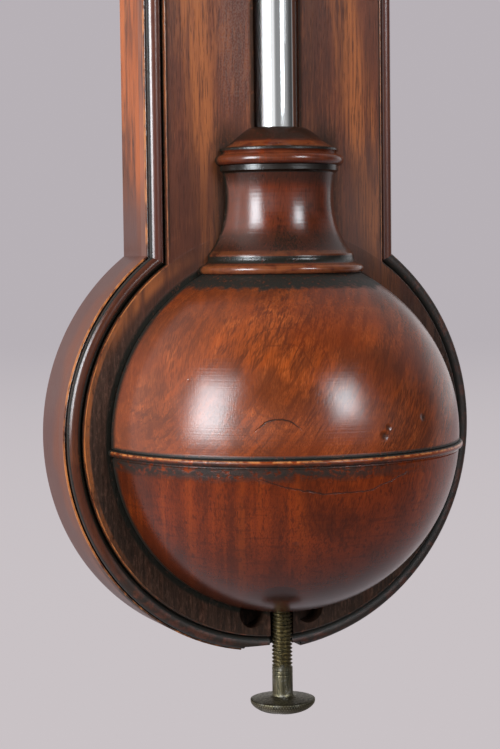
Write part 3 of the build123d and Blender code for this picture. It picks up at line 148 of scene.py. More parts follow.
class TimberSettings(bpy.types.PropertyGroup):
    """Tones of the mahogany."""

    light: tone("Light figure", "Lightest tone of the case's mahogany", (0.38, 0.110, 0.030))
    middle: tone("Body", "Middle tone of the case's mahogany", (0.150, 0.040, 0.016))
    dark: tone("Dark figure", "Darkest tone of the case's mahogany", (0.060, 0.018, 0.010))
    cover_light: tone("Cover light", "Lightest tone of the turned cover", (0.43, 0.096, 0.020))
    cover_middle: tone("Cover body", "Middle tone of the turned cover", (0.220, 0.042, 0.009))
    cover_dark: tone("Cover dark", "Darkest tone of the turned cover", (0.075, 0.016, 0.006))
    red_light: tone("Red light", "Lightest tone of the cover's lower half", (0.36, 0.060, 0.007))
    red_middle: tone("Red body", "Middle tone of the cover's lower half", (0.175, 0.024, 0.004))
    red_dark: tone("Red dark", "Darkest tone of the cover's lower half", (0.050, 0.009, 0.003))
    cover_body: tone("Cover ground", "Even tone of the cover's upper half", (0.260, 0.050, 0.010))
    red_body: tone("Red ground", "Even tone of the cover's lower half", (0.205, 0.030, 0.005))
    panel: tone("Panel ground", "Ground of the panel between its streaks", (0.150, 0.040, 0.020))
    stained: tone("Stained", "Panel round the cover, dark with old wax", (0.036, 0.017, 0.011))
    flank: tone("Flank", "Bright side of the trunk", (0.45, 0.108, 0.027))
    # Darker grey tone of the lower flanks, which also paints the sheen of the backdrop on them.
    soiled: tone("Soiled flank", "Handled side of the round base", (0.104, 0.046, 0.038))
    bead: tone("Bead", "Dark red mouldings and collar", (0.085, 0.017, 0.008))
    # Greyed tone laid as a painted sheen of reflected light on the polish.
    bloom: tone("Bloom", "Greyed polish on the panel", (0.230, 0.150, 0.130))
    # Pale tone of rubbed arrises and beads, also laid as a painted highlight along the arrises.
    worn: tone("Worn edge", "Arrises and beads rubbed down to pale timber", (0.50, 0.17, 0.050))
    wax: tone("Old wax", "Wax and dirt left in the recesses", (0.010, 0.009, 0.006))


class MetalSettings(bpy.types.PropertyGroup):
    """Tones of the metals."""

    brass: tone("Brass", "Polished brass of the fittings", (0.54, 0.39, 0.17))
    bronzed: tone("Bronzed brass", "Dark brass of the portable screw", (0.185, 0.158, 0.095))
    silvered: tone("Silvered brass", "Silvered register plates", (0.76, 0.74, 0.68))
    steel: tone("Steel", "Wood screws", (0.34, 0.33, 0.31))
    mercury: tone("Mercury", "Mercury behind the glass", (0.80, 0.81, 0.82))
    wetting: metres("Wetting", "How far the mercury passes into the glass, so that no gap shows",
                    0.05 * MM)


class ScrewSettings(bpy.types.PropertyGroup):
    """Sizes of the portable screw."""

    thread_radius: metres("Thread radius", "To the crests of the thread", 2.7 * MM)
    pitch: metres("Pitch", "Rise of one turn", 1.0 * MM)
    turns: IntProperty(name="Turns", description="Turns of the thread", default=32)
    head_radius: metres("Head radius", "Edge of the head", 8.3 * MM)
    knurls: IntProperty(name="Knurls", description="Teeth round the head", default=72)


class StudioSettings(bpy.types.PropertyGroup):
    """Camera, lamps and backdrop."""

    camera_side: metres("Camera side", "Camera to the right of the case", -0.2018)
    camera_out: metres("Camera distance", "Camera in front of the panel", 0.4361)
    camera_rise: metres("Camera height", "Camera above the centre of the base", 0.0476)
    yaw: tilt("Yaw", "Turn to the right", 23.93)
    pitch: tilt("Pitch", "Tilt down", 3.86)
    roll: tilt("Roll", "Turn about the line of sight", -0.71)
    lens: FloatProperty(name="Lens", description="Focal length in millimetres", default=89.01)
    main_power: watts("Large lamp", "Power of the large soft lamp at the left", 46.0)
    small_power: watts("Small lamp", "Power of the small soft lamp at the right", 17.0)
    backdrop: tone("Backdrop", "Pale wall behind the case", (0.475, 0.440, 0.470))
    backdrop_low: tone("Backdrop foot", "Paler foot of the backdrop", (0.585, 0.540, 0.560))


# ---- node materials --------------------------------------------------------------------------
class Field:
    """A number that varies from place to place: it can be reckoned with, and | takes the larger."""

    def __init__(self, web, socket):
        self.web, self.socket = web, socket

    def __mul__(self, other):
        return self.web.math("MULTIPLY", self, other)

    def __add__(self, other):
        return self.web.math("ADD", self, other)

    def __sub__(self, other):
        return self.web.math("SUBTRACT", self, other)

    def __rsub__(self, other):
        return self.web.math("SUBTRACT", other, self)

    def __or__(self, other):
        return self.web.math("MAXIMUM", self, other)

    def __abs__(self):
        return self.web.math("ABSOLUTE", self)

    def step(self, low, high, least=0.0):
        """Smooth rise from 0, or least, at low to 1 at high, or a fall where low is above high."""
        node = self.web.nodes.new("ShaderNodeMapRange")
        node.interpolation_type = "SMOOTHSTEP"
        ends = (low, high, least, 1.0) if low < high else (high, low, 1.0, least)
        for name, end in zip(("From Min", "From Max", "To Min", "To Max"), ends):
            node.inputs[name].default_value = end
        self.web.feed(node.inputs["Value"], self)
        return Field(self.web, node.outputs["Result"])

    def band(self, centre, half, soft):
        """1 within half of the centre, falling to 0 over soft."""
        return abs(self - centre).step(half + soft, half)


class Web:
    """A node tree under construction."""

    def __init__(self, tree):
        self.nodes, self.links = tree.nodes, tree.links

    def feed(self, socket, value):
        """Links a value into a socket, or sets the socket to it."""
        value = value.socket if isinstance(value, Field) else value
        if isinstance(value, bpy.types.NodeSocket):
            self.links.new(value, socket)
        elif hasattr(value, "__len__") and len(value) == 3 and socket.type == "RGBA":
            socket.default_value = (*value, 1)
        else:
            socket.default_value = value

    def corner(self, kind):
        """Texture coordinates."""
        return self.nodes.new("ShaderNodeTexCoord").outputs[kind]

    def seen(self):
        """1 for what the camera sees itself, 0 for reflections and light."""
        return self.nodes.new("ShaderNodeLightPath").outputs["Is Camera Ray"]

    def mapped(self, vector, location=(0, 0, 0), rotation=(0, 0, 0), scale=(1, 1, 1)):
        """A place moved, turned by angles in degrees and scaled."""
        node = self.nodes.new("ShaderNodeMapping")
        self.feed(node.inputs["Vector"], vector)
        node.inputs["Location"].default_value = location
        node.inputs["Rotation"].default_value = [radians(angle) for angle in rotation]
        node.inputs["Scale"].default_value = scale
        return node.outputs[0]

    def split(self, vector):
        """The three parts of a place."""
        node = self.nodes.new("ShaderNodeSeparateXYZ")
        self.feed(node.inputs[0], vector)
        return [Field(self, output) for output in node.outputs]

    def joined(self, *parts):
        """A place made of three values."""
        node = self.nodes.new("ShaderNodeCombineXYZ")
        for socket, part in zip(node.inputs, parts):
            self.feed(socket, part)
        return node.outputs[0]

    def length(self, vector):
        """Distance of a place from its origin."""
        node = self.nodes.new("ShaderNodeVectorMath")
        node.operation = "LENGTH"
        self.feed(node.inputs[0], vector)
        return Field(self, node.outputs["Value"])

    def math(self, operation, first, second=0.0, third=0.0):
        """The result of a sum on up to three values."""
        node = self.nodes.new("ShaderNodeMath")
        node.operation = operation
        for socket, value in zip(node.inputs, (first, second, third)):
            self.feed(socket, value)
        return Field(self, node.outputs[0])

    def across(self, first, second):
        """Length of the slope over two values at right angles."""
        return self.math("SQRT", self.total((first * first, 1.0), (second * second, 1.0)))

    def total(self, *weighted):
        """Sum of (value, weight) pairs."""
        result = 0.0
        for value, weight in weighted:
            result = self.math("MULTIPLY_ADD", value, weight, result)
        return result

    def ramp(self, value, *stops):
        """Colour along (position, colour) stops."""
        node = self.nodes.new("ShaderNodeValToRGB")
        elements = node.color_ramp.elements
        while len(elements) < len(stops):
            elements.new(0.5)
        for element, (position, colour) in zip(elements, stops):
            element.position = position
            element.color = (*colour, 1)
        self.feed(node.inputs["Fac"], value)
        return node.outputs["Color"]

    def mix(self, factor, first, second):
        """The first colour, turning into the second as the factor rises."""
        node = self.nodes.new("ShaderNodeMix")
        node.data_type = "RGBA"
        for number, value in ((0, factor), (6, first), (7, second)):
            self.feed(node.inputs[number], value)
        return node.outputs[2]

    def choose(self, factor, first, second, output):
        """The first shader, turning into the second as the factor rises, led to the output node."""
        node = self.nodes.new("ShaderNodeMixShader")
        for socket, value in zip(node.inputs, (factor, first.outputs[0], second.outputs[0])):
            self.feed(socket, value)
        self.links.new(node.outputs[0], self.nodes[output].inputs["Surface"])


class Finish(Web):
    """A node material under construction.

    Its place is in millimetres from the centre of the round base: x to the right, y back from the front
    panel, z up.
    """

    def __init__(self, name, roughness=0.4, coat=0.0, coat_roughness=0.03, specular=0.5, metallic=0.0,
                 transmission=0.0):
        self.material = bpy.data.materials.new(name)
        self.material.use_nodes = True
        super().__init__(self.material.node_tree)
        self.shader = self.nodes["Principled BSDF"]
        for socket, value in (("Roughness", roughness), ("Coat Weight", coat), ("Metallic", metallic),
                              ("Coat Roughness", coat_roughness), ("Specular IOR Level", specular),
                              ("Transmission Weight", transmission)):
            self.shader.inputs[socket].default_value = value
        self.place = self.mapped(self.corner("Object"), scale=(1 / MM,) * 3,
                                 location=(0, -FRONT_Y / MM, -BASE_Z / MM))
        self.axes = self.split(self.place)
        self.colour = None

    def near(self, point, radius, soft, stretch=(1, 1, 1)):
        """1 inside an ellipsoid about a point, falling to 0 over soft."""
        moved = self.mapped(self.place, [-part * by for part, by in zip(point, stretch)], scale=stretch)
        return self.length(moved).step(radius + soft, radius)

    def noise(self, stretch, vector=None, detail=3.0, roughness=0.55, distortion=0.0, seed=0):
        """Noise with so many lumps per millimetre along each axis."""
        node = self.nodes.new("ShaderNodeTexNoise")
        for name, value in (("Scale", 1.0), ("Detail", detail), ("Roughness", roughness),
                            ("Distortion", distortion)):
            node.inputs[name].default_value = value
        offset = (seed * 17.3 + 3.1, seed * 9.7 - 4.2, seed * 5.9 + 1.7)
        self.feed(node.inputs["Vector"], self.mapped(vector or self.place, offset, scale=stretch))
        return Field(self, node.outputs["Fac"])

    def flecks(self, stretch, vector=None, size=0.2, soft=0.1, seed=0):
        """Small separate spots, stretched along the axis with the fewest per millimetre."""
        node = self.nodes.new("ShaderNodeTexVoronoi")
        node.inputs["Scale"].default_value = 1.0
        offset = (seed * 7.3, seed * 3.7, seed * 11.9)
        self.feed(node.inputs["Vector"], self.mapped(vector or self.place, offset, scale=stretch))
        return Field(self, node.outputs["Distance"]).step(size + soft, size)

    def lay(self, over, *masks):
        """Lays a tone over the colour so far, where all the masks let it through."""
        self.colour = self.mix(reduce(mul, masks), self.colour, over)

    def complete(self, height, relief_mm, gloss=None):
        """Gives the surface its colour, its relief and, where it varies, its roughness."""
        self.feed(self.shader.inputs["Base Color"], self.colour)
        if gloss:
            self.feed(self.shader.inputs["Roughness"], gloss)
        node = self.nodes.new("ShaderNodeBump")
        node.inputs["Strength"].default_value = 1.0
        node.inputs["Distance"].default_value = relief_mm * MM
        self.feed(node.inputs["Height"], height)
        self.links.new(node.outputs["Normal"], self.shader.inputs["Normal"])
        return self.material


def dress(material, *pieces):
    """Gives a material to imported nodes, by name, or to new pieces."""
    for piece in pieces:
        piece = NODES[piece] if isinstance(piece, str) else piece
        piece.data.materials.clear()
        piece.data.materials.append(material)


def toned(colour, share):
    """A share of a colour: deeper below 1, paler above."""
    return [share * part for part in colour]


def distance_from_base(finish):
    """Distance from the centre of the round base, measured on the panel."""
    x, _, z = finish.axes
    return finish.across(x, z)


def mahogany(finish, tones, fibre=(0, 0, 1), across=(1, 0, 0), seed=0, layer=0.16, pores=(0.24, 0.80),
             blotch=0.60):
    """Colours a finish as figured mahogany and returns the height of its surface.

    fibre is the way the fibres run and across the way the growth layers are stacked, layer how many of
    them there are to a millimetre, pores the size and the darkness of the pore strokes, and blotch the
    strength of the uneven stain.
    """
    dark, middle, light = tones
    along = Vector(fibre).normalized()
    stack = (Vector(across) - along * along.dot(Vector(across))).normalized()
    turn = Matrix((stack, along.cross(stack), along)).to_euler()
    log = finish.mapped(finish.place, rotation=[degrees(angle) for angle in turn])
    x, y, z = finish.split(log)
    sway = finish.noise((0.030, 0.030, 0.009), log, detail=2, seed=seed)
    deep = finish.total((sway, 30.0), (x, 1.0))
    layers = finish.noise((layer, 0.01, 0.004), finish.joined(deep, y, z), detail=5, seed=seed + 1)
    cloud = finish.noise((0.050, 0.050, 0.030), log, detail=3, seed=seed + 2)
    mottle = finish.noise((0.22, 0.22, 0.10), log, detail=4, roughness=0.65, seed=seed + 5)
    fibres = finish.noise((2.6, 2.6, 0.20), log, detail=3, seed=seed + 3)
    depth = finish.total((layers, 0.65), (cloud, 0.75), (mottle, blotch), (fibres, 0.60),
                         (-0.50 - 0.50 * blotch, 1.0))
    finish.colour = finish.ramp(depth, (0.30, dark), (0.46, middle), (0.55, middle), (0.74, light))
    crowd = finish.noise((0.07, 0.07, 0.035), log, detail=2, seed=seed + 4)
    size, strength = pores
    dashes = finish.flecks((2.3, 2.3, 0.30), log, size, 0.20, seed=seed)
    specks = finish.flecks((3.4, 3.4, 0.6), log, size * 0.8, 0.20, seed=seed + 1)
    strokes = dashes * crowd.step(0.32, 0.58) | specks * crowd.step(0.62, 0.4) * 0.7
    finish.lay(toned(dark, 0.25), strokes, strength)
    return finish.total((fibres, 0.30), (strokes, -0.30), (mottle, 0.6))


def polish(finish, height, wax, worn=0.0, roughness=(0.20, 0.34), relief_mm=0.05, dull=0.30,
           matt=0.0):
    """Old polish over timber: dark wax in the recesses, also used for painted shade, pale arrises for
    wear and painted highlight, a soft and slightly uneven gloss.

    dull is how much rougher the wax is than the polish, matt a further roughness.
    """
    timber = bpy.context.scene.barometer_timber
    finish.lay(timber.worn, worn)
    crumbs = finish.noise((1.1, 1.1, 0.8), detail=5, roughness=0.65, seed=31)
    wax = wax * crumbs.step(0.20, 0.46)
    finish.lay(timber.wax, wax)
    # Uneven gloss of the polish: this varies only the roughness, not the colour.
    bloom = finish.noise((0.12, 0.12, 0.12), detail=5, seed=32)
    smooth, rough = roughness
    gloss = finish.total((bloom, rough - smooth), (wax, dull), (matt, 1.0), (smooth, 1.0))
    return finish.complete(finish.total((height, 1.0), (crumbs * wax, 3.0)), relief_mm, gloss)


def case_tones():
    """Dark, middle and light tones of the case."""
    timber = bpy.context.scene.barometer_timber
    return timber.dark[:], timber.middle[:], timber.light[:]


def joinery(name, fibre, seed):
    """Plain polished mahogany of the head."""
    finish = Finish(name, coat=0.10, coat_roughness=0.10, specular=0.25)
    height = mahogany(finish, case_tones(), fibre, (0.3, 1, 0.2), seed)
    soil = finish.noise((0.06, 0.06, 0.06), detail=5, seed=seed + 9).step(0.56, 0.78)
    return polish(finish, height, soil * 0.45)


def metal(name, colour, stain, roughness=0.30, grime=0.5):
    """Lacquered or tarnished metal with fine tool marks and stains."""
    finish = Finish(name, roughness=roughness, metallic=1.0)
    marks = finish.noise((0.2, 0.2, 3.0), detail=3, seed=3)
    cloud = finish.noise((0.22, 0.22, 0.22), detail=5, roughness=0.65, seed=4)
    specks = finish.flecks((0.5, 0.5, 0.5), size=0.10, soft=0.12, seed=5)
    dull = cloud.step(0.45, 0.72) | specks * 0.7
    finish.colour = colour
    finish.lay(stain, dull, grime)
    finish.lay(toned(colour, 0.62), marks, 0.25)
    gloss = finish.total((dull, 0.25), (marks, 0.12), (roughness - 0.06, 1.0))
    return finish.complete(finish.total((marks, 1.0), (dull, 0.6)), 0.02, gloss)


def patterned(name, pattern, first, second, relief_mm, roughness=0.6, **constants):
    """A two-tone finish whose tones and relief follow one pattern."""
    finish = Finish(name, roughness=roughness, **constants)
    value = pattern(finish)
    finish.colour = finish.mix(value, first, second)
    return finish.complete(value, relief_mm)


def bronzed_brass(name):
    """Brass darkened by handling, rubbed bright in places along the shank."""
    metals = bpy.context.scene.barometer_metal
    finish = Finish(name, roughness=0.4, metallic=1.0)
    x, y, z = finish.axes
    cloud = finish.noise((0.35, 0.35, 0.35), detail=5, roughness=0.7, seed=71)
    fine = finish.noise((2.2, 2.2, 2.2), detail=3, seed=72)
    lines = finish.noise((1.6, 1.6, 0.25), detail=4, seed=73)
    shank = z.band(-66.0, 4.0, 1.5)
    scuff = shank * cloud.step(0.52, 0.62) * lines.step(0.4, 0.56)
    crust = cloud.step(0.48, 0.64) | fine * 0.5 | shank * lines.step(0.52, 0.44) * 0.8
    thread = z.band(-52.0, 9.0, 1.0) * fine.step(0.40, 0.62)
    soot, bright, scuffed, rubbed = ((0.034, 0.034, 0.024), (0.34, 0.27, 0.13), (0.26, 0.24, 0.20),
                                     (0.42, 0.38, 0.27))
    finish.colour = metals.bronzed
    finish.lay(soot, crust)
    # Brighter brass on the thread: rubbed brass and a painted glint.
    finish.lay(bright, thread, 0.75)
    finish.lay(scuffed, scuff)
    around = finish.math("ARCTAN2", x, y)
    knurls = bpy.context.scene.barometer_screw.knurls
    left, right = (finish.math("SINE", finish.total((around, knurls), (z, lean))).step(0.0, 0.8)
                   for lean in (5.0, -5.0))
    foot = height_mm(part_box("portable_screw")[0].z)
    ridges = left * right * z.step(foot + 3.4, foot + 3.1) * finish.across(x, y).step(4.0, 6.5)
    # Paler ridges on the knurling: rubbed brass and a painted glint.
    finish.lay(rubbed, ridges)
    gloss = finish.total((crust, 0.24), (shank, 0.08), (0.30, 1.0))
    return finish.complete(finish.total((cloud, 1.0), (fine, 0.7)), 0.06, gloss)


def boxwood(name):
    """Pale close-grained boxwood."""
    finish = Finish(name, roughness=0.42, coat=0.2)
    tones = (0.36, 0.21, 0.08), (0.50, 0.32, 0.13), (0.62, 0.43, 0.20)
    return finish.complete(mahogany(finish, tones, seed=61, pores=(0.08, 0.4)), 0.03)


def clear_glass(name):
    """Old drawn glass, very slightly streaked."""
    finish = Finish(name, roughness=0.02, transmission=1.0)
    finish.shader.inputs["IOR"].default_value = 1.47
    streaks = finish.noise((0.5, 0.5, 0.03), detail=2, seed=51)
    finish.colour = finish.mix(streaks, (0.98, 0.99, 0.98), (0.93, 0.96, 0.94))
    return finish.complete(streaks, 0.002)


def mercury(name):
    """Mercury with a faint film."""
    tint = bpy.context.scene.barometer_metal.mercury[:]
    return patterned(name, lambda finish: finish.noise((0.3, 0.3, 0.02), detail=3, seed=52), tint,
                     toned(tint, 0.86), 0.001, 0.04, metallic=1.0)


def brass(name):
    """Lacquered brass of the fittings."""
    return metal(name, bpy.context.scene.barometer_metal.brass[:], (0.16, 0.10, 0.04), 0.26, 0.45)


def silvered_brass(name):
    """Silvered brass of the register."""
    return metal(name, bpy.context.scene.barometer_metal.silvered[:], (0.42, 0.38, 0.30), 0.34, 0.35)


def steel(name):
    """Dull steel of the screws."""
    return metal(name, bpy.context.scene.barometer_metal.steel[:], (0.06, 0.05, 0.045), 0.36, 0.7)


def leather(name):
    """Soft tan leather of the bag."""

    def grain(finish):
        pits = finish.flecks((1.6, 1.6, 1.6), size=0.35, soft=0.3, seed=62)
        cloud = finish.noise((0.1, 0.1, 0.1), detail=5, seed=63)
        return finish.total((pits, 0.4), (cloud, 0.6))

    return patterned(name, grain, (0.42, 0.28, 0.17), (0.62, 0.46, 0.31), 0.15)


def waxed_thread(name):
    """Waxed thread of the binding."""
    return patterned(name, lambda finish: finish.noise((1.2, 1.2, 3.0), detail=2, seed=64),
                     (0.24, 0.17, 0.09), (0.46, 0.36, 0.22), 0.2)


def red_spirit(name):
    """Dyed spirit of the thermometer."""
    return patterned(name, lambda finish: finish.noise((0.4, 0.4, 0.1), detail=2, seed=53),
                     (0.42, 0.012, 0.010), (0.30, 0.008, 0.008), 0.01, 0.08, transmission=0.4)


def scale_ink(name):
    """Black wax in the engraving of the scales."""
    return patterned(name, lambda finish: finish.noise((0.8, 0.8, 0.8), detail=3, seed=65),
                     (0.012, 0.011, 0.010), (0.045, 0.040, 0.034), 0.01, 0.5)


def finish_of(maker, *pieces):
    """Gives pieces the finish that a maker function describes, which is made once."""
    name = "aged_" + maker.__name__
    dress(bpy.data.materials.get(name) or maker(name), *pieces)


def upright_joinery(name):
    """Mahogany with its fibres upright."""
    return joinery(name, (0.02, 0, 1), 41)


def level_joinery(name):
    """Mahogany with its fibres across."""
    return joinery(name, (1, 0, 0.02), 43)


# ---- modelling -------------------------------------------------------------------------------
def alone(piece):
    """Selects one object and nothing else."""
    bpy.ops.object.select_all(action="DESELECT")
    piece.select_set(True)
    bpy.context.view_layer.objects.active = piece


def named(name):
    """Names the object just added."""
    piece = bpy.context.object
    piece.name = name
    piece.data.name = name
    return piece


def pick(piece, wanted):
    """Selects in edit mode the vertices that a test on their place accepts."""
    bpy.ops.mesh.select_all(action="DESELECT")
    mesh = bmesh.from_edit_mesh(piece.data)
    bpy.ops.mesh.select_mode(type="VERT")
    for vertex in mesh.verts:
        vertex.select = wanted(vertex.co)
    mesh.select_flush_mode()
    bmesh.update_edit_mesh(piece.data)


def whole():
    """Selects the whole mesh in edit mode."""
    bpy.ops.mesh.select_all(action="SELECT")


def block(name, size, centre):
    """A box about its centre."""
    bpy.ops.object.select_all(action="DESELECT")
    bpy.ops.mesh.primitive_cube_add(size=1, location=centre, scale=size)
    piece = named(name)
    bpy.ops.object.transform_apply(location=True, scale=True)
    return piece


def grown(rise, share, about):
    """Extrudes the picked face upwards and scales its width and depth about a point."""
    bpy.ops.mesh.extrude_region_move(TRANSFORM_OT_translate={"value": (0, 0, rise)})
    bpy.ops.transform.resize(value=(*share, 1), center_override=about)


def closed(inside=False):
    """Fills the open ends of the mesh in edit mode and turns its normals one way."""
    bpy.ops.mesh.select_all(action="DESELECT")
    bpy.ops.mesh.select_mode(type="EDGE")
    bpy.ops.mesh.select_non_manifold()
    bpy.ops.mesh.fill_holes(sides=0)
    whole()
    bpy.ops.mesh.normals_make_consistent(inside=inside)


def outlined():
    """Leaves only the edges of a flat piece, in edit mode, and selects them."""
    bpy.ops.object.mode_set(mode="EDIT")
    whole()
    bpy.ops.mesh.delete(type="ONLY_FACE")
    whole()


def merged(reach_mm):
    """Merges the vertices that meet, in edit mode, and turns the normals outwards."""
    whole()
    bpy.ops.mesh.remove_doubles(threshold=reach_mm * MM)
    bpy.ops.mesh.normals_make_consistent(inside=False)


def drawn(name, outline):
    """A line through (radius, rise) points in millimetres, drawn by extruding one vertex."""
    bpy.ops.object.select_all(action="DESELECT")
    bpy.ops.mesh.primitive_plane_add(size=MM)
    piece = named(name)
    bpy.ops.object.mode_set(mode="EDIT")
    bpy.ops.mesh.select_mode(type="VERT")
    bpy.ops.mesh.merge(type="CENTER")
    reached = Vector((0, 0, 0))
    for number, (radius, rise) in enumerate(outline):
        corner = Vector((radius, 0, rise)) * MM
        if number:
            bpy.ops.mesh.extrude_vertices_move(TRANSFORM_OT_translate={"value": corner - reached})
        else:
            bpy.ops.transform.translate(value=corner)
        reached = corner
    return piece


def turned(name, outline, steps=64):
    """A solid turned about Z, left in edit mode; the outline holds (radius, rise) in millimetres."""
    piece = drawn(name, outline)
    whole()
    bpy.ops.mesh.spin(steps=steps, angle=2 * pi, center=(0, 0, 0), axis=(0, 0, 1), use_auto_merge=True)
    whole()
    bpy.ops.mesh.remove_doubles(threshold=0.002 * MM)
    bpy.ops.mesh.delete_loose()
    whole()
    bpy.ops.mesh.normals_make_consistent(inside=False)
    return piece


def knurl(piece, outline, steps, lift, low, high, crossed=False):
    """Lifts every other line of a turned piece's vertices between two rises, or a crossed pattern."""
    rows = [rise for _, rise in outline]

    def raised(place):
        if not low * MM <= place.z <= high * MM or Vector((place.x, place.y)).length < 0.5 * MM:
            return False
        line = round(Vector((1, 0)).angle_signed(Vector((place.x, place.y))) * steps / (2 * pi))
        row = min(range(len(rows)), key=lambda n: abs(rows[n] * MM - place.z))
        return (line + (row if crossed else 0)) % 2 == 0

    pick(piece, raised)
    bpy.ops.transform.shrink_fatten(value=lift * MM)


def placed(piece, x, y, z, turn=(0, 0, 0)):
    """Ends edit mode and moves the piece to its place in metres."""
    bpy.ops.object.mode_set(mode="OBJECT")
    alone(piece)
    piece.rotation_euler = [radians(angle) for angle in turn]
    piece.location = (x, y, z)
    bpy.ops.object.transform_apply(location=True, rotation=True, scale=True)
    return piece


def joined_piece(first, *others):
    """Joins pieces into the first."""
    alone(first)
    for other in others:
        other.select_set(True)
    bpy.ops.object.join()
    return first


def seated(piece, body, slot, *nodes, smooth=35):
    """Fixes a finished piece to its body and hides the nodes it stands for; slot is not used."""
    alone(piece)
    bpy.ops.object.shade_smooth_by_angle(angle=radians(smooth))
    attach(piece, body)
    if nodes:
        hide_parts(*nodes)
    return piece


def modified(piece, kind, **settings):
    """Adds a modifier and applies it."""
    alone(piece)
    modifier = piece.modifiers.new(kind.title(), kind)
    for name, value in settings.items():
        setattr(modifier, name, value)
    bpy.ops.object.modifier_apply(modifier=modifier.name)


def rounded(piece, width_mm):
    """Takes the sharpness off the edges."""
    modified(piece, "BEVEL", width=width_mm * MM, segments=2, limit_method="ANGLE",
             angle_limit=radians(35))


def middle(node):
    """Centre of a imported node."""
    low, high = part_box(node)
    return (low + high) / 2


# ---- operators -------------------------------------------------------------------------------
class CaseTimber(bpy.types.Operator):
    """Finish the back board and its moulding strips"""

    bl_idname = "barometer.case_timber"
    bl_label = "Case Timber"

    def execute(self, context):
        self.board()
        self.moulding("trunk_moulding", False)
        self.moulding("base_moulding", True)
        return {"FINISHED"}

    def board(self):
        """Panel, sides and back of the board, with old wax along every joint and painted shade beside
        the tube and the collar.
        """
        timber = bpy.context.scene.barometer_timber
        finish = Finish("case_mahogany", specular=0.13)
        x, _, z = finish.axes
        height = mahogany(finish, case_tones(), (0.05, 0, 1), seed=2, layer=0.13, pores=(0.20, 0.60),
                          blotch=0.25)
        span = distance_from_base(finish)
        side = abs(x)
        trunk = z.step(*TRUNK_FOOT_MM)
        flank = (trunk * side.step(TRUNK_HALF_MM - 0.25, TRUNK_HALF_MM - 0.05)
                 | z.step(*reversed(TRUNK_FOOT_MM)) * span.step(BASE_R_MM - 0.35, BASE_R_MM - 0.10))
        face = 1.0 - flank
        torn = finish.noise((0.30, 0.30, 0.03), detail=4, seed=6)
        lined = finish.noise((1.5, 1.5, 0.05), detail=3, seed=7)
        self.streaks(finish, face, torn, lined)
        self.shades(finish, face, span)
        self.sides(finish, flank)
        inner = BASE_R_MM - MOULD_W_MM
        margin = span.step(inner + 0.4, inner) * span.step(46.0, 47.0) * z.step(56.0, 44.0)
        rubbed = (span.band(inner - 0.5, 0.3, 0.5) * z.step(-42.0, -10.0)
                  | span.step(inner - 4.0, inner - 1.5) * z.step(16.0, 34.0))
        rubbed = (rubbed * margin * face * x.step(10.0, -20.0) * torn.step(0.32, 0.56)
                  * z.step(49.0, 37.0))
        stained = finish.mix(lined.step(0.40, 0.70), timber.stained, toned(timber.stained, 2.2))
        finish.lay(stained, margin, face, z.step(44.0, 20.0), 0.90)
        finish.lay(timber.light, rubbed, 0.65)
        crust = margin * face * z.step(40.0, 15.0)
        grit = finish.noise((1.3, 1.3, 0.45), detail=5, roughness=0.7, seed=33)
        finish.lay(toned(timber.stained, 4.5), crust, grit.step(0.52, 0.62), 0.50)
        finish.lay(toned(timber.stained, 0.3), crust, grit.step(0.44, 0.34), 0.70)
        ring = span.band(COVER_R_MM + 0.4, 0.6, 1.4)
        low = finish.total((z.step(34.0, -20.0), 0.22), (0.30, 1.0))
        gutter = margin * low * torn.step(0.30, 0.50) * (1.0 - rubbed * 0.8)
        quirk = trunk * side.band(TRUNK_HALF_MM - MOULD_W_MM, 0.2, 0.6) * 0.7
        # Dark bands beside the tube and the collar, laid with the wax: old wax and painted shade where
        # these parts meet the panel.
        groove = trunk * side.band(6.3, 0.5, 1.1) * 0.85
        collar = side.band(14.0, 1.0, 5.0) * z.step(84.0, 74.0) * z.step(36.0, 44.0)
        polish(finish, finish.total((height, 1.0), (crust * grit, 4.0)),
               ring | gutter | quirk | groove | collar * 0.75, roughness=(0.26, 0.40))
        board = self.true_round()
        dress(finish.material, "back_board", board)
        seated(board, "case", "mahogany", "back_board")

    def streaks(self, finish, face, torn, lined):
        """Pale streaks, dark lines and fine flecks that run up the panel."""
        timber = bpy.context.scene.barometer_timber
        veins = finish.noise((0.26, 0.30, 0.010), detail=4, seed=27)
        streaks = self.streak(finish, -21.5, -0.07, 1.6) | self.streak(finish, 22.5, -0.16, 2.2)
        streaks = streaks * torn.step(0.30, 0.56) | veins.step(0.50, 0.64) * 0.25
        flecks = finish.noise((2.6, 2.6, 0.16), detail=4, roughness=0.6, seed=38).step(0.52, 0.62)
        finish.lay(timber.panel, face, 0.50)
        finish.lay(timber.dark, face, lined.step(0.50, 0.34), 0.35)
        finish.lay(timber.light, face * streaks * lined.step(0.26, 0.56), 0.95)
        finish.lay(timber.dark, face, veins.step(0.47, 0.36), 0.35)
        finish.lay(timber.dark, face, flecks, 0.62)

    def streak(self, finish, middle_mm, lean, half):
        """A long pale streak in the panel, which leans as it climbs."""
        x, _, z = finish.axes
        place = finish.total((x, 1.0), (z, -lean), (lean * STREAK_LEVEL_MM, 1.0))
        return place.band(middle_mm, half, 4.0)

    def shades(self, finish, face, span):
        """Painted shade on stretches of the panel, and a painted grey sheen of reflected light left of
        the collar and beside it.
        """
        timber = bpy.context.scene.barometer_timber
        x, _, z = finish.axes
        # Painted shade: darker along the left edge, beside the tube, over the round base and where the
        # trunk meets it.
        shade = (x.band(9.0, 2.0, 6.0) * 0.35 | x.step(-25.0, -30.0) * 0.45
                 | span.step(60.0, 50.0) * 0.60
                 | z.step(84.0, 56.0) * z.step(20.0, 40.0) * x.step(24.0, -10.0) * 0.70)
        smeared = finish.noise((3.2, 3.2, 2.0), detail=2, seed=10).step(0.36, 0.66)
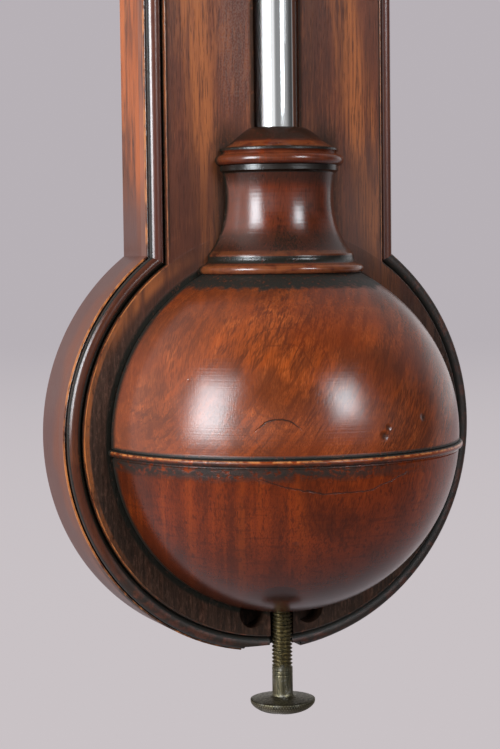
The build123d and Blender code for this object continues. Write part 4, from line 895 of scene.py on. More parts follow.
        # Painted sheen: greyed patches of reflected light.
        bloom = (x.band(-11.0, 2.5, 4.0) * z.step(76.0, 92.0) * smeared
                 | x.step(10.0, 24.0) * z.step(84.0, 58.0) * z.step(38.0, 50.0))
        finish.lay(timber.dark, face, shade)
        finish.lay(timber.bloom, face, bloom, 0.30)

    def true_round(self):
        """The back board with the facets of its round rim brought out to a true circle."""
        alone(NODES["back_board"])
        bpy.ops.object.duplicate()
        board = named("round_rimmed_board")
        bpy.ops.object.parent_clear(type="CLEAR_KEEP_TRANSFORM")
        board.data.materials.clear()
        board.rotation_mode = "XYZ"
        bpy.ops.mesh.customdata_custom_splitnormals_clear()
        centre = height_mm(0) * MM
        placed(board, 0, 0, centre)
        placed(board, 0, 0, 0, (90, 0, 0))
        bpy.ops.object.mode_set(mode="EDIT")
        merged(0.001)

        def on_rim(place):
            return (Vector((place.x, place.y)).length > (BASE_R_MM - 0.1) * MM
                    and place.y > -RIM_TOP_MM * MM)

        pick(board, on_rim)
        bpy.ops.mesh.subdivide(number_cuts=4)
        pick(board, on_rim)
        bpy.ops.object.vertex_group_add()
        bpy.ops.object.vertex_group_assign()
        bpy.ops.object.mode_set(mode="OBJECT")
        modified(board, "CAST", cast_type="CYLINDER", factor=1.0, use_radius_as_size=False, radius=0.0,
                 size=BASE_R_MM * MM, use_z=False, vertex_group=board.vertex_groups[0].name)
        board.vertex_groups.clear()
        placed(board, 0, 0, 0, (-90, 0, 0))
        return placed(board, 0, 0, -centre)

    def sides(self, finish, flank):
        """Bright sides of the trunk, darker towards the round base, where the lower flanks get a
        painted reflection: reddish near the front arris, a grey sheen towards the back.
        """
        timber = bpy.context.scene.barometer_timber
        _, y, z = finish.axes
        torn = finish.noise((0.30, 0.30, 0.03), detail=4, seed=6)
        veins = finish.noise((0.22, 0.22, 0.012), detail=4, seed=26)
        cloud = finish.noise((0.10, 0.10, 0.05), detail=4, seed=12)
        # Painted reflection on the lower flanks: reddish towards the front arris, a grey sheen towards
        # the back.
        front = finish.total((y, 1.0), (cloud, 16.0)).step(21.0, 14.0)
        flank_reflection = finish.mix(front * 0.50, timber.soiled, toned(timber.flank, 0.45))
        finish.lay(timber.flank, flank * z.step(48.0, 68.0) * torn.step(0.62, 0.42), 0.75)
        finish.lay(timber.dark, flank, veins.step(0.52, 0.62), 0.50)
        finish.lay(flank_reflection, flank, z.step(70.0, 50.0), 0.94)

    def moulding(self, stem, round_base):
        """A moulding strip: arris, groove, bead, groove and arris across its width; the arrises are
        painted pale for wear and highlight, the grooves dark for wax and shade.
        """
        timber = bpy.context.scene.barometer_timber
        finish = Finish(stem + "_mahogany", specular=0.45 if round_base else 0.80)
        x, y, z = finish.axes
        height = mahogany(finish, case_tones(), seed=5)
        if round_base:
            inward = BASE_R_MM - distance_from_base(finish)
        else:
            inward = TRUNK_HALF_MM - abs(x)
        flank = inward.step(0.12, 0.02) * y.step(0.3, 0.9)
        bead = inward.band(MOULD_W_MM / 2, 1.6, 0.4)
        finish.lay(timber.dark if round_base else timber.bead, bead, 0.85)
        self.sides(finish, flank)
        # Pale arrises: rubbed wear and a painted highlight where light catches the edges.
        outer = inward.step(0.5, 0.36) * y.step(4.1, 3.8)
        inner = inward.band(MOULD_W_MM - 0.12, 0.07, 0.1) * (1.0 if round_base else 0.55)
        width = 0.60 if round_base else 0.25
        # Dark grooves beside the bead: old wax and painted shade.
        quirk_wax_and_shade = inward.band(0.66, 0.2, 0.12) | inward.band(4.25 - width, width, 0.2)
        matt = flank * 0.25
        if round_base:
            # On the round base the inner arris keeps its painted highlight only on the upper left, the
            # lit side.
            inner = inner * x.step(0.0, -18.0) * z.step(-46.0, -34.0)
            soot = x.step(-14.0, 8.0) | z.step(-24.0, -40.0)
            crust = finish.noise((0.5, 0.5, 0.5), detail=4, seed=9)
            quirk_wax_and_shade = quirk_wax_and_shade | soot * crust.step(0.3, 0.55) * 0.85
            matt = matt | soot * 0.3
        worn = (outer | inner) * finish.noise((0.2, 0.2, 0.2), detail=4, seed=8)
        rubs = finish.noise((0.3, 0.3, 0.16), detail=5, roughness=0.6, seed=36).step(0.36, 0.56)
        worn = finish.math("MINIMUM", worn * 1.9, 1.0) * rubs
        finish.lay(timber.dark, flank, 0.15)
        polish(finish, height, quirk_wax_and_shade, worn, roughness=(0.14, 0.26), relief_mm=0.02, dull=0.08,
               matt=matt)
        dress(finish.material, stem + "_left", stem + "_right")


class TurnedCover(bpy.types.Operator):
    """Finish the turned cover of the cistern and its collar"""

    bl_idname = "barometer.turned_cover"
    bl_label = "Turned Cover"

    def execute(self, context):
        self.upper()
        self.lower()
        self.collar()
        return {"FINISHED"}

    def dents(self, finish, *places):
        """Small bruises, each given by its centre and its radius in millimetres."""
        return reduce(or_, [finish.near(place, 0.2 * radius, radius) for place, radius in places])

    def crack(self, finish, middle_mm, half_mm, bow, width_mm):
        """A hairline through a point, bowed across its length."""
        x, y, z = finish.axes
        aside = x - middle_mm[0]
        wander = finish.noise((0.25, 0.25, 0.25), detail=2, seed=15)
        rise = finish.total((z, 1.0), (aside * aside, -bow), (wander, -1.6), (0.8 - middle_mm[2], 1.0))
        return (rise.band(0.0, 0.25 * width_mm, width_mm) * aside.band(0.0, half_mm, 2.5)
                * y.step(-30.0, -34.0))

    def varnish(self, finish, height, hurt, wax, chips_and_highlight=0.0):
        """Lathe lines, wax in the bruises and against the panel, and a bright polish over all."""
        _, y, _ = finish.axes
        lathe = finish.noise((0.02, 0.02, 2.6), detail=3, seed=13)
        finish.lay(bpy.context.scene.barometer_timber.wax, hurt, 0.75)
        relief = finish.total((height, 0.6), (lathe, 0.9), (hurt, -8.0))
        polish(finish, relief, wax | y.step(-3.5, -0.8), chips_and_highlight, roughness=(0.14, 0.30),
               relief_mm=0.025)

    def upper(self):
        """The upper half, with painted shade and a ragged line of wax under the collar, and painted
        light and a grey sheen on its left.
        """
        timber = bpy.context.scene.barometer_timber
        tones = timber.cover_dark[:], timber.cover_middle[:], timber.cover_light[:]
        finish = Finish("cover_upper_mahogany", specular=0.5)
        x, _, z = finish.axes
        height = mahogany(finish, tones, (0.33, 0.38, 0.86), (-0.38, -0.86, 0.34), seed=11,
                          layer=0.75, pores=(0.33, 0.75), blotch=0.35)
        wobble = finish.noise((0.10, 0.10, 0.07), detail=3, seed=14)
        finish.lay(timber.cover_body, 0.25)
        self.growth_rings(finish, wobble)
        self.strokes(finish)
        # Painted light: the left of the cover, towards the large lamp, is laid paler, and its far left
        # is greyed as a reflected sheen.
        finish.lay(timber.cover_light, x.step(-8.0, -34.0), 0.10)
        finish.lay(timber.bloom, x.step(-28.0, -44.0), 0.14)
        torn = finish.noise((0.45, 0.45, 0.45), detail=4, roughness=0.6, seed=41)
        ragged = finish.total((z, 1.0), (wobble, 2.0), (torn, 3.2), (-2.6, 1.0))
        ringed = ragged.step(COLLAR_FOOT_MM - 4.2, COLLAR_FOOT_MM - 2.8)
        # Painted shade under the collar, laid with the wax.
        high = finish.total((z, 1.0), (wobble, 8.0), (-4.0, 1.0))
        shade_under_collar = high.step(COLLAR_FOOT_MM - 15.0, COLLAR_FOOT_MM - 2.0) * 0.25
        bruises = self.dents(finish, ((-35.0, -24.7, 16.3), 0.7), ((6.3, -45.9, 2.7), 1.3),
                             ((7.6, -45.6, 4.6), 0.9), ((19.0, -41.7, 6.3), 1.1))
        split = self.crack(finish, (-19.5, -41.0, 7.4), 3.2, -0.10, 0.22)
        self.varnish(finish, height, bruises | split, ringed | shade_under_collar | z.step(-0.9, -1.6))
        dress(finish.material, "cistern_cover_upper")

    def growth_rings(self, finish, wobble):
        """Three thin oval rings where the lathe has cut through the growth layers."""
        eye = finish.near((-17.5, -39.5, 15.5), 0.0, 30.0, stretch=(1.0, 1.0, 0.66))
        rings = finish.total((eye, 1.0), (wobble, 0.22), (-0.11, 1.0))
        lines = (rings.band(0.845, 0.004, 0.012) | rings.band(0.66, 0.003, 0.010)
                 | rings.band(0.50, 0.002, 0.010) * 0.6)
        finish.lay(bpy.context.scene.barometer_timber.cover_dark, lines, 0.45)

    def strokes(self, finish):
        """Slanting strokes and hairs of dark figure, under dark patches and a red veil."""
        timber = bpy.context.scene.barometer_timber
        x, y, z = finish.axes
        slant = finish.joined(finish.total((x, 0.80), (z, -0.60)), y,
                              finish.total((x, 0.60), (z, 0.80)))
        brushed = finish.noise((0.55, 0.10, 0.07), slant, detail=4, roughness=0.6, seed=29)
        hairs = finish.noise((1.9, 0.5, 0.22), slant, detail=3, roughness=0.6, seed=35)
        strewn = finish.noise((0.045, 0.045, 0.06), detail=3, seed=37).step(0.38, 0.60)
        patches = finish.noise((0.055, 0.055, 0.075), detail=4, seed=18).step(0.45, 0.65)
        veil = finish.noise((0.035, 0.035, 0.045), detail=4, seed=34).step(0.44, 0.62)
        finish.lay(timber.cover_dark, brushed.step(0.49, 0.62), 0.52)
        finish.lay(timber.cover_dark, hairs.step(0.50, 0.60) * brushed.step(0.34, 0.50), strewn, 0.85)
        finish.lay(timber.red_light, brushed.step(0.46, 0.34), 0.35)
        finish.lay(timber.cover_dark, patches, 0.62)
        finish.lay(timber.red_middle, veil, 0.45)

    def lower(self):
        """The lower half, with its bead at the joint and a long crack across the front."""
        timber = bpy.context.scene.barometer_timber
        tones = timber.red_dark[:], timber.red_middle[:], timber.red_light[:]
        finish = Finish("cover_lower_mahogany", specular=0.38)
        x, _, z = finish.axes
        height = mahogany(finish, tones, (0.16, -0.1, 0.97), (0.85, -0.5, 0.1), seed=17, layer=0.24,
                          pores=(0.30, 0.60), blotch=0.25)
        self.boards(finish)
        # Painted shade: darker towards the bottom of the cover, with one dark patch low on the left.
        sunk = z.step(-20.0, -41.0) * 0.68 | finish.near((-12.0, -25.5, -39.0), 3.5, 3.5)
        finish.lay(toned(timber.red_dark, 0.7), sunk)
        finish.lay(timber.red_light, z.band(-2.95, 0.65, 0.15), 0.5)
        # Painted shade on the underside of the bead.
        finish.lay(timber.red_dark, z.band(-3.35, 0.25, 0.20), 0.6)
        # A ragged dark band under the bead, laid with the wax.
        wobble_under_bead = finish.noise((0.12, 0.12, 0.3), detail=4, seed=21)
        under = finish.total((z, 1.0), (wobble_under_bead, 3.0)).band(-3.2, 0.8, 2.6) * x.step(32.0, -8.0)
        grime = finish.noise((0.55, 0.55, 0.80), detail=4, roughness=0.6, seed=42).step(0.34, 0.52)
        chips = finish.noise((0.6, 0.6, 0.8), detail=4, seed=28).step(0.42, 0.54)
        bruises = self.dents(finish, ((-20.0, -42.0, -3.0), 1.3), ((-13.9, -38.6, -23.6), 1.2),
                             ((-14.2, -38.0, -24.8), 0.9))
        split = self.crack(finish, (-5.0, -45.3, -10.6), 17.0, 0.012, 0.18)
        # The last argument pales the bead's top edge: chipped wear and a painted highlight.
        self.varnish(finish, height, bruises | split * 0.8, z.step(-2.45, -2.15) | under * grime * 0.9,
                     z.band(-2.42, 0.20, 0.12) * chips)
        dress(finish.material, "cistern_cover_lower")

    def boards(self, finish):
        """Upright bands of figure, darker towards the panel, with specks and a ripple."""
        timber = bpy.context.scene.barometer_timber
        x, y, z = finish.axes
        sawn = finish.joined(finish.total((x, 0.914), (y, -0.405)), y, z)
        boards = finish.noise((0.36, 0.01, 0.008), sawn, detail=4, roughness=0.6, distortion=0.3,
                              seed=19)
        left = x.step(-2.0, -20.0)
        patches = finish.noise((0.06, 0.06, 0.05), detail=5, seed=20).step(0.46, 0.66)
        specks = finish.noise((1.3, 0.6, 0.45), sawn, detail=4, roughness=0.65, seed=39)
        ripple = finish.noise((0.10, 0.10, 1.1), sawn, detail=3, seed=40).step(0.52, 0.66)
        finish.lay(timber.red_body, 0.35)
        finish.lay(timber.red_dark, left, boards.step(0.46, 0.66), 0.40)
        finish.lay(timber.red_dark, y.step(-20.0, -5.0), 0.60)
        finish.lay(timber.red_light, left, boards.step(0.50, 0.30), 0.35)
        finish.lay(timber.red_dark, patches, 0.6)
        finish.lay(timber.red_dark,
                   specks.step(0.54, 0.64) * 0.60 | specks.step(0.48, 0.60) * patches * 0.55)
        finish.lay(timber.red_dark, ripple, z.step(-6.0, -18.0), 0.35)

    def collar(self):
        """The turned collar, its beads rubbed pale, its quirks full of wax, painted shade on the fillet
        under the torus and a painted grey sheen on the neck's left.
        """
        timber = bpy.context.scene.barometer_timber
        tones = toned(timber.dark, 0.5), timber.bead[:], timber.red_middle[:]
        finish = Finish("collar_mahogany", specular=0.52)
        x, y, z = finish.axes
        height = mahogany(finish, tones, (0.05, 0, 1), (0.5, -0.8, 0), seed=23, pores=(0.16, 0.5),
                          blotch=0.35)
        rise = z - COLLAR_FOOT_MM
        beads = (rise.band(1.3, 1.0, 0.3) * 0.8 | rise.band(5.2, 0.5, 0.3) * 0.6
                 | rise.band(29.7, 1.2, 0.3) * 0.25 | rise.band(32.7, 0.6, 0.5) * 0.7)
        patchy = finish.noise((0.25, 0.25, 0.6), detail=4, seed=25).step(0.25, 0.60)
        # Painted sheen: a greyed patch of reflected light on the neck's left.
        finish.lay(timber.bloom, rise.band(16.0, 6.0, 4.0) * x.step(-9.5, -13.5), 0.30)
        finish.lay(timber.red_light, rise.band(16.0, 5.0, 5.0), patchy, 0.12)
        # Painted shade: the fillet under the torus is laid near black.
        finish.lay(toned(timber.dark, 0.15), rise.band(26.6, 0.9, 0.4))
        finish.lay(timber.light, beads, patchy, 0.42)
        lathe = finish.noise((0.03, 0.03, 2.2), detail=3, seed=24)
        wax = (rise.band(3.6, 0.7, 0.4) | rise.band(8.0, 1.0, 4.0) * 0.6 | rise.band(31.7, 0.3, 0.2)
               | rise.step(33.2, 34.4) * 0.85 | rise.band(25.0, 0.8, 3.0) * 0.6 | y.step(-2.6, -0.5))
        polish(finish, finish.total((height, 0.6), (lathe, 1.2)), wax, roughness=(0.12, 0.26),
               relief_mm=0.02, dull=0.05)
        dress(finish.material, "cover_collar")


class HeadJoinery(bpy.types.Operator):
    """Finish the plain joinery of the head and the cover of the rack"""

    bl_idname = "barometer.head_joinery"
    bl_label = "Head Joinery"

    def execute(self, context):
        finish_of(upright_joinery, "head_stile_left", "head_stile_right", "rack_cover")
        finish_of(level_joinery, "head_rail_bottom", "head_rail_top", "glazing_beads")
        return {"FINISHED"}


class Crown(bpy.types.Operator):
    """Model the moulded cornice, the panelled pediment and the finial"""

    bl_idname = "barometer.crown"
    bl_label = "Crown"

    def execute(self, context):
        self.cornice()
        self.pediment()
        self.finial()
        return {"FINISHED"}

    def stack(self, name, node, layers):
        """A block grown upwards in layers of (inset from the node's sides, rise), with a flat back."""
        low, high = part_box(node)
        width, depth = high.x - low.x, high.y - low.y
        inset, rise = (part * MM for part in layers[0])
        thickness = layers[1][1] * MM - rise
        piece = block(name, (width - 2 * inset, depth - inset, thickness),
                      (0, high.y - (depth - inset) / 2, low.z + rise + thickness / 2))
        bpy.ops.object.mode_set(mode="EDIT")
        top = low.z + rise + thickness
        for step_in, step_up in layers[2:]:
            pick(piece, lambda place: abs(place.z - top) < TINY)
            further = step_in * MM
            share = (width - 2 * further) / (width - 2 * inset), (depth - further) / (depth - inset)
            grown(low.z + step_up * MM - top, share, (0, high.y, top))
            inset, top = further, low.z + step_up * MM
        bpy.ops.object.mode_set(mode="OBJECT")
        return piece

    def cornice(self):
        """Bed moulding, cyma and corona."""
        cyma = [(4.7, 3.2), (4.4, 3.9), (3.8, 4.8), (2.9, 5.5), (2.0, 6.1), (1.4, 6.9), (1.2, 7.7)]
        layers = [(5.5, 0.0), (5.5, 2.4), (4.7, 2.5), *cyma, (0.0, 7.9), (0.0, 11.6), (0.3, 12.0)]
        piece = self.stack("moulded_cornice", "cornice", layers)
        seated(piece, "case", "mahogany", "cornice", smooth=25)
        finish_of(level_joinery, piece)

    def pediment(self):
        """A raking block with a sunk panel in its face."""
        low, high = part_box("pediment")
        plinth = 3 * MM
        piece = block("panelled_pediment", (high.x - low.x, high.y - low.y, plinth),
                      (0, (low.y + high.y) / 2, low.z + plinth / 2))
        bpy.ops.object.mode_set(mode="EDIT")
        pick(piece, lambda place: place.z > low.z + plinth - TINY)
        grown(high.z - low.z - plinth, (0.16, 1), (0, 0, high.z))
        pick(piece, lambda place: place.z > low.z + plinth - TINY and place.y < low.y + TINY)
        bpy.ops.mesh.select_mode(type="FACE")
        bpy.ops.mesh.inset(thickness=3.2 * MM, depth=0)
        bpy.ops.mesh.inset(thickness=0.9 * MM, depth=-1.4 * MM)
        bpy.ops.object.mode_set(mode="OBJECT")
        rounded(piece, 0.5)
        seated(piece, "case", "mahogany", "pediment", smooth=30)
        finish_of(upright_joinery, piece)

    def finial(self):
        """A turned ball and spike on a stepped foot."""
        centre = middle("finial")
        outline = [(0, 0), (6.0, 0), (6.0, 1.2), (5.6, 1.7), (4.6, 2.0), (3.2, 2.6), (2.3, 3.6),
                   (2.2, 4.4), (3.6, 4.9), (3.6, 5.6), (3.0, 6.0), (4.5, 7.2), (5.3, 8.8), (5.4, 10.2),
                   (4.9, 11.8), (3.8, 13.2), (2.5, 14.2), (2.9, 14.8), (2.9, 15.4), (1.7, 16.0),
                   (1.25, 17.6), (1.2, 18.8), (1.7, 19.6), (1.8, 20.6), (1.4, 22.0), (0.7, 23.3),
                   (0, 24.0)]
        piece = placed(turned("turned_finial", outline), centre.x, centre.y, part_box("finial")[0].z)
        seated(piece, "case", "brass", "finial", smooth=50)
        finish_of(brass, piece)


class GlazedDoor(bpy.types.Operator):
    """Model the mitred door frame and finish its glass and knob"""

    bl_idname = "barometer.glazed_door"
    bl_label = "Glazed Door"

    def execute(self, context):
        piece = self.frame()
        seated(piece, "door", "mahogany", "door_frame", smooth=25)
        finish_of(upright_joinery, piece)
        finish_of(clear_glass, "door_glass")
        finish_of(brass, "door_knob", "hinge_leaves_case", "hinge_leaves_door")
        return {"FINISHED"}

    def frame(self):
        """The rim of the door drawn inwards through the (inset, rise) points of its moulding."""
        low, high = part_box("door_frame")
        centre = (low + high) / 2
        sides = high.x - low.x, high.z - low.z
        section = [(0, 0), (0, 7.4), (0.5, 8.0), (7.2, 8.0), (7.6, 7.5), (8.4, 7.5), (8.7, 7.9),
                   (9.5, 7.7), (10.5, 7.1), (11.4, 6.3), (12.0, 5.6), (12.0, 5.0), (10.0, 5.0),
                   (10.0, 0.0), (0, 0)]
        bpy.ops.object.select_all(action="DESELECT")
        bpy.ops.mesh.primitive_plane_add(size=1, rotation=(pi / 2, 0, 0))
        piece = named("mitred_door_frame")
        piece.scale = (*sides, 1)
        piece.location = (centre.x, high.y, centre.z)
        bpy.ops.object.transform_apply(location=True, rotation=True, scale=True)
        outlined()
        for (inset, out), (next_inset, next_out) in zip(section, section[1:]):
            shrink = 2 * (next_inset - inset) * MM
            wide, tall = (1 - shrink / (side - 2 * inset * MM) for side in sides)
            bpy.ops.mesh.extrude_edges_move(
                TRANSFORM_OT_translate={"value": (0, (out - next_out) * MM, 0)}
            )
            bpy.ops.transform.resize(value=(wide, 1, tall), center_override=centre)
        merged(0.002)
        bpy.ops.object.mode_set(mode="OBJECT")
        return piece


class TubeAndMercury(bpy.types.Operator):
    """Model the drawn glass tube and the mercury that fills it, and finish their clips"""

    bl_idname = "barometer.tube_and_mercury"
    bl_label = "Tube and Mercury"

    def execute(self, context):
        low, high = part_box("glass_tube")
        tall = (high.z - low.z) / MM
        outside = (high.x - low.x) / 2 / MM
        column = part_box("mercury_column")
        bore = (column[1].x - column[0].x) / 2 / MM
        outline = [(bore, 0), (outside, 0), (outside, tall - 6.0), (0.92 * outside, tall - 3.6),
                   (0.72 * outside, tall - 1.7), (0.40 * outside, tall - 0.4), (0, tall),
                   (0, tall - 2.4), (0.45 * bore, tall - 2.9), (0.80 * bore, tall - 4.4),
                   (bore, tall - 7.0), (bore, 0)]
        tube = placed(turned("drawn_glass_tube", outline, 96), 0, FRONT_Y, low.z)
        seated(tube, "case", "clear_glass", "glass_tube", smooth=50)
        finish_of(clear_glass, tube)
        full = bore + context.scene.barometer_metal.wetting / MM
        tall = (column[1].z - column[0].z) / MM
        outline = [(0, 0), (full, 0), (full, tall - 1.7), (0.93 * full, tall - 1.1),
                   (0.78 * full, tall - 0.6), (0.50 * full, tall - 0.2), (0, tall)]
        thread = placed(turned("mercury_thread", outline, 96), 0, FRONT_Y, column[0].z)
        seated(thread, "case", "mercury", "mercury_column", smooth=50)
        finish_of(mercury, thread, "cistern_mercury")
        finish_of(brass, "tube_clips", "cistern_strap")
        finish_of(steel, "clip_screws", "strap_screws")
        return {"FINISHED"}


class PortableScrew(bpy.types.Operator):
    """Model the portable screw: helical thread, shank and knurled head"""

    bl_idname = "barometer.portable_screw"
    bl_label = "Portable Screw"

    def execute(self, context):
        settings = context.scene.barometer_screw
        low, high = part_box("portable_screw")
        crest = settings.thread_radius / MM
        root = crest - 0.55
        piece = joined_piece(self.thread(settings, crest, root, high.z), self.tip(root, high.z),
                             self.head(settings, crest, low.z))
        named("knurled_portable_screw")
        seated(piece, "screw", "bronzed_brass", "portable_screw", smooth=16)
        finish_of(bronzed_brass, piece)
        finish_of(brass, "screw_bush", "bush_bracket")
        finish_of(steel, "bracket_screws")
        return {"FINISHED"}

    def thread(self, settings, crest, root, top):
        """One turn of the thread's profile, wound down from just under the tip."""
        profile = [(root, 0), (crest - 0.08, -0.34), (crest, -0.42), (crest, -0.50),
                   (crest - 0.08, -0.58), (root, -0.92), (root, -1)]
        pitch = settings.pitch / MM
        piece = drawn("screw_thread", [(radius, turn * pitch) for radius, turn in profile])
        placed(piece, 0, 0, 0)
        modified(piece, "SCREW", axis="Z", angle=2 * pi, screw_offset=-settings.pitch, steps=40,
                 render_steps=40, iterations=settings.turns, use_merge_vertices=True)
        bpy.ops.object.mode_set(mode="EDIT")
        whole()
        bpy.ops.mesh.remove_doubles(threshold=0.005 * MM)
        closed(inside=True)
        return placed(piece, 0, FRONT_Y, top - 1.8 * MM)

    def tip(self, root, top):
        """The plain end that lifts the pad."""
        outline = [(0, 0), (1.2, 0), (1.5, -0.3), (1.5, -1.8), (root, -2.2), (root, -3.2), (0, -3.2)]
        return placed(turned("screw_tip", outline, 32), 0, FRONT_Y, top)

    def head(self, settings, crest, foot):
        """The domed head with its crossed knurling, and the shank with its two rings."""
        edge = settings.head_radius / MM
        steps = settings.knurls * 2
        dome = [(edge, 3.24), (edge, 2.90), (0.985 * edge, 2.45), (0.94 * edge, 1.95),
                (0.87 * edge, 1.46), (0.79 * edge, 1.04), (0.69 * edge, 0.67), (0.57 * edge, 0.37),
                (0.44 * edge, 0.16), (0.28 * edge, 0.03)]
        shank = [(0, 12.0), (crest - 0.25, 12.0), (crest, 11.7), (crest, 11.0), (crest - 0.1, 10.8),
                 (crest, 10.6), (crest, 10.0), (crest - 0.08, 9.8), (crest, 9.6), (crest, 4.9),
                 (crest + 0.25, 4.3), (crest + 0.9, 3.95), (crest + 2.2, 3.75), (0.90 * edge, 3.55),
                 (0.97 * edge, 3.42)]
        piece = turned("screw_head", [*shank, *dome, (0, 0)], steps)
        knurl(piece, dome, steps, 0.22, 0.3, 3.3, crossed=True)
        return placed(piece, 0, FRONT_Y, foot)


class Cistern(bpy.types.Operator):
    """Model the pleated leather bag, its mercury and its binding"""

    bl_idname = "barometer.cistern"
    bl_label = "Cistern"

    def execute(self, context):
        self.bag()
        self.filling()
        self.binding()
        finish_of(boxwood, "cistern_body", "cistern_cap", "bag_pad")
        return {"FINISHED"}

    def lifted_by_pad(self, piece, node):
        """Looks up how far the pad lifts the node and gives the piece a mesh of its own."""
        joint = next(joint for joint in frame["joints"] if joint["name"] == "pad_lift")
        fixed = next(part for part in joint["deforming_nodes"] if part["node"] == node)["fixed_end_z_m"]
        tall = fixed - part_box(node)[0].z
        1 - joint["range_m"][1] / tall
        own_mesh(piece)

    def bag(self):
        """Leather with deep pleats under the binding and shallow ones below them."""
        outline = [(0, 0), (7.0, 0.0), (10.6, 0.15), (12.6, 0.9), (13.7, 2.2), (14.2, 4.4),
                   (14.35, 7.5), (14.3, 11.0), (14.2, 14.5), (14.25, 18.0), (14.3, 20.5),
                   (14.45, 22.2), (14.5, 24.0), (14.55, 26.3), (14.3, 27.0), (13.6, 27.0), (0, 26.2)]
        piece = turned("pleated_bag", outline, 96)
        knurl(piece, outline, 96, -0.30, 17.0, 26.4)
        knurl(piece, outline, 96, -0.16, 7.0, 15.0)
        placed(piece, 0, FRONT_Y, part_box("leather_bag")[0].z)
        modified(piece, "SUBSURF", levels=1, render_levels=1)
        seated(piece, "case", "bag_leather", "leather_bag", smooth=60)
        finish_of(leather, piece)
        self.lifted_by_pad(piece, "leather_bag")

    def filling(self):
        """Mercury in the bag."""
        low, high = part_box("bag_mercury")
        tall = (high.z - low.z) / MM
        piece = turned("mercury_in_bag", [(0, 0), (9.8, 0.1), (12.0, 0.9), (13.1, 2.6), (13.4, 5.0),
                                          (13.4, tall), (0, tall)], 64)
        placed(piece, 0, FRONT_Y, low.z)
        seated(piece, "case", "mercury", "bag_mercury", smooth=60)
        finish_of(mercury, piece)
        self.lifted_by_pad(piece, "bag_mercury")

    def binding(self):
        """Waxed thread wound round the neck of the bag."""
        low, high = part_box("bag_binding")
        strand = 0.46
        turns = 3
        climb = (high.z - low.z) / MM - 2 * strand
        bpy.ops.object.select_all(action="DESELECT")
        bpy.ops.mesh.primitive_circle_add(vertices=10, radius=strand * MM, fill_type="NGON",
                                          rotation=(pi / 2, 0, 0))
        piece = named("wound_binding")
        bpy.ops.object.transform_apply(rotation=True)
        outlined()
        bpy.ops.transform.translate(value=(high.x - 0.5 * MM, 0, 0))
        bpy.ops.object.mode_set(mode="OBJECT")
        modified(piece, "SCREW", axis="Z", angle=2 * pi, screw_offset=climb / turns * MM, steps=64,
                 render_steps=64, iterations=turns)
        bpy.ops.object.mode_set(mode="EDIT")
        closed()
        placed(piece, 0, FRONT_Y, low.z + strand * MM)
        seated(piece, "case", "waxed_thread", "bag_binding", smooth=60)
        finish_of(waxed_thread, piece)


class Register(bpy.types.Operator):
    """Engrave the register plates and the vernier"""

    bl_idname = "barometer.register"
    bl_label = "Register"

    def execute(self, context):
        finish_of(silvered_brass, "register_plate_left", "register_plate_right", "vernier_plate")
        finish_of(brass, "vernier_index", "thermometer_clips")
        finish_of(steel, "register_screws")
        finish_of(clear_glass, "thermometer_tube")
        finish_of(red_spirit, "thermometer_spirit")
        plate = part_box("register_plate_right")[0].y
        engraving = joined_piece(*self.inches(plate), *self.thermometer(plate))
        named("scale_engraving")
        seated(engraving, "case", "silvered_brass", smooth=20)
        finish_of(scale_ink, engraving)
        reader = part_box("vernier_plate")
        vernier = self.divisions(reader[1].x - 3.0 * MM, reader[1].x, reader[0].y,
                                 reader[1].z - 5.0 * MM - 0.9 * INCH, 0.09 * INCH, 11)
        named("vernier_engraving")
        seated(vernier, "vernier", "silvered_brass", smooth=20)
        finish_of(scale_ink, vernier)
        return {"FINISHED"}

    def inches(self, plate):
        """Tenths, halves and whole inches of mercury above the cistern, with their figures."""
        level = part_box("cistern_mercury")[1].z
        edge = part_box("vernier_plate")[1].x + 1.0 * MM
        lowest, highest = 27, 31
        marks = []
        for length_mm, parts in ((3.2, 10), (5.0, 2), (7.5, 1)):
            marks.append(self.divisions(edge, edge + length_mm * MM, plate, level + lowest * INCH,
                                        INCH / parts, parts * (highest - lowest) + 1))
        for reading in range(lowest, highest + 1):
            marks.append(self.figure(str(reading), edge + 11.5 * MM, plate, level + reading * INCH,
                                     4.2))
        return marks

    def thermometer(self, plate):
        """Divisions at both sides of the thermometer, with a figure at every twenty degrees."""
        stem = middle("thermometer_tube").x
        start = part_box("thermometer_tube")[0].z + 26 * MM
        step = 18 * MM
        marks = []
        for side in (-1, 1):
            inner = stem + side * 4.2 * MM
            for length_mm, parts, count in ((2.2, 5, 26), (3.6, 1, 6)):
                ends = sorted((inner, inner + side * length_mm * MM))
                marks.append(self.divisions(*ends, plate, start, step / parts, count))
        for number in range(6):
            marks.append(self.figure(str(20 * number), stem + 11.0 * MM, plate, start + number * step,
                                     3.2))
        return marks

    def divisions(self, left, right, face, foot, step, count):
        """Equal cuts up a scale."""
        piece = block("divisions", (right - left, 0.06 * MM, 0.16 * MM),
                      ((left + right) / 2, face, foot))
        modified(piece, "ARRAY", count=count, use_relative_offset=False, use_constant_offset=True,
                 constant_offset_displace=(0, 0, step))
        return piece

    def figure(self, text, x, face, z, tall_mm):
        """A number cut in the plate."""
        bpy.ops.object.select_all(action="DESELECT")
        bpy.ops.object.text_add(location=(x, face, z), rotation=(pi / 2, 0, 0))
        piece = bpy.context.object
        piece.data.body = text
        piece.data.size = tall_mm * MM * 1.35
        piece.data.align_x = "CENTER"
        piece.data.align_y = "CENTER"
        piece.data.extrude = 0.03 * MM
        bpy.ops.object.convert(target="MESH")
        bpy.ops.object.transform_apply(location=True, rotation=True, scale=True)
        return piece


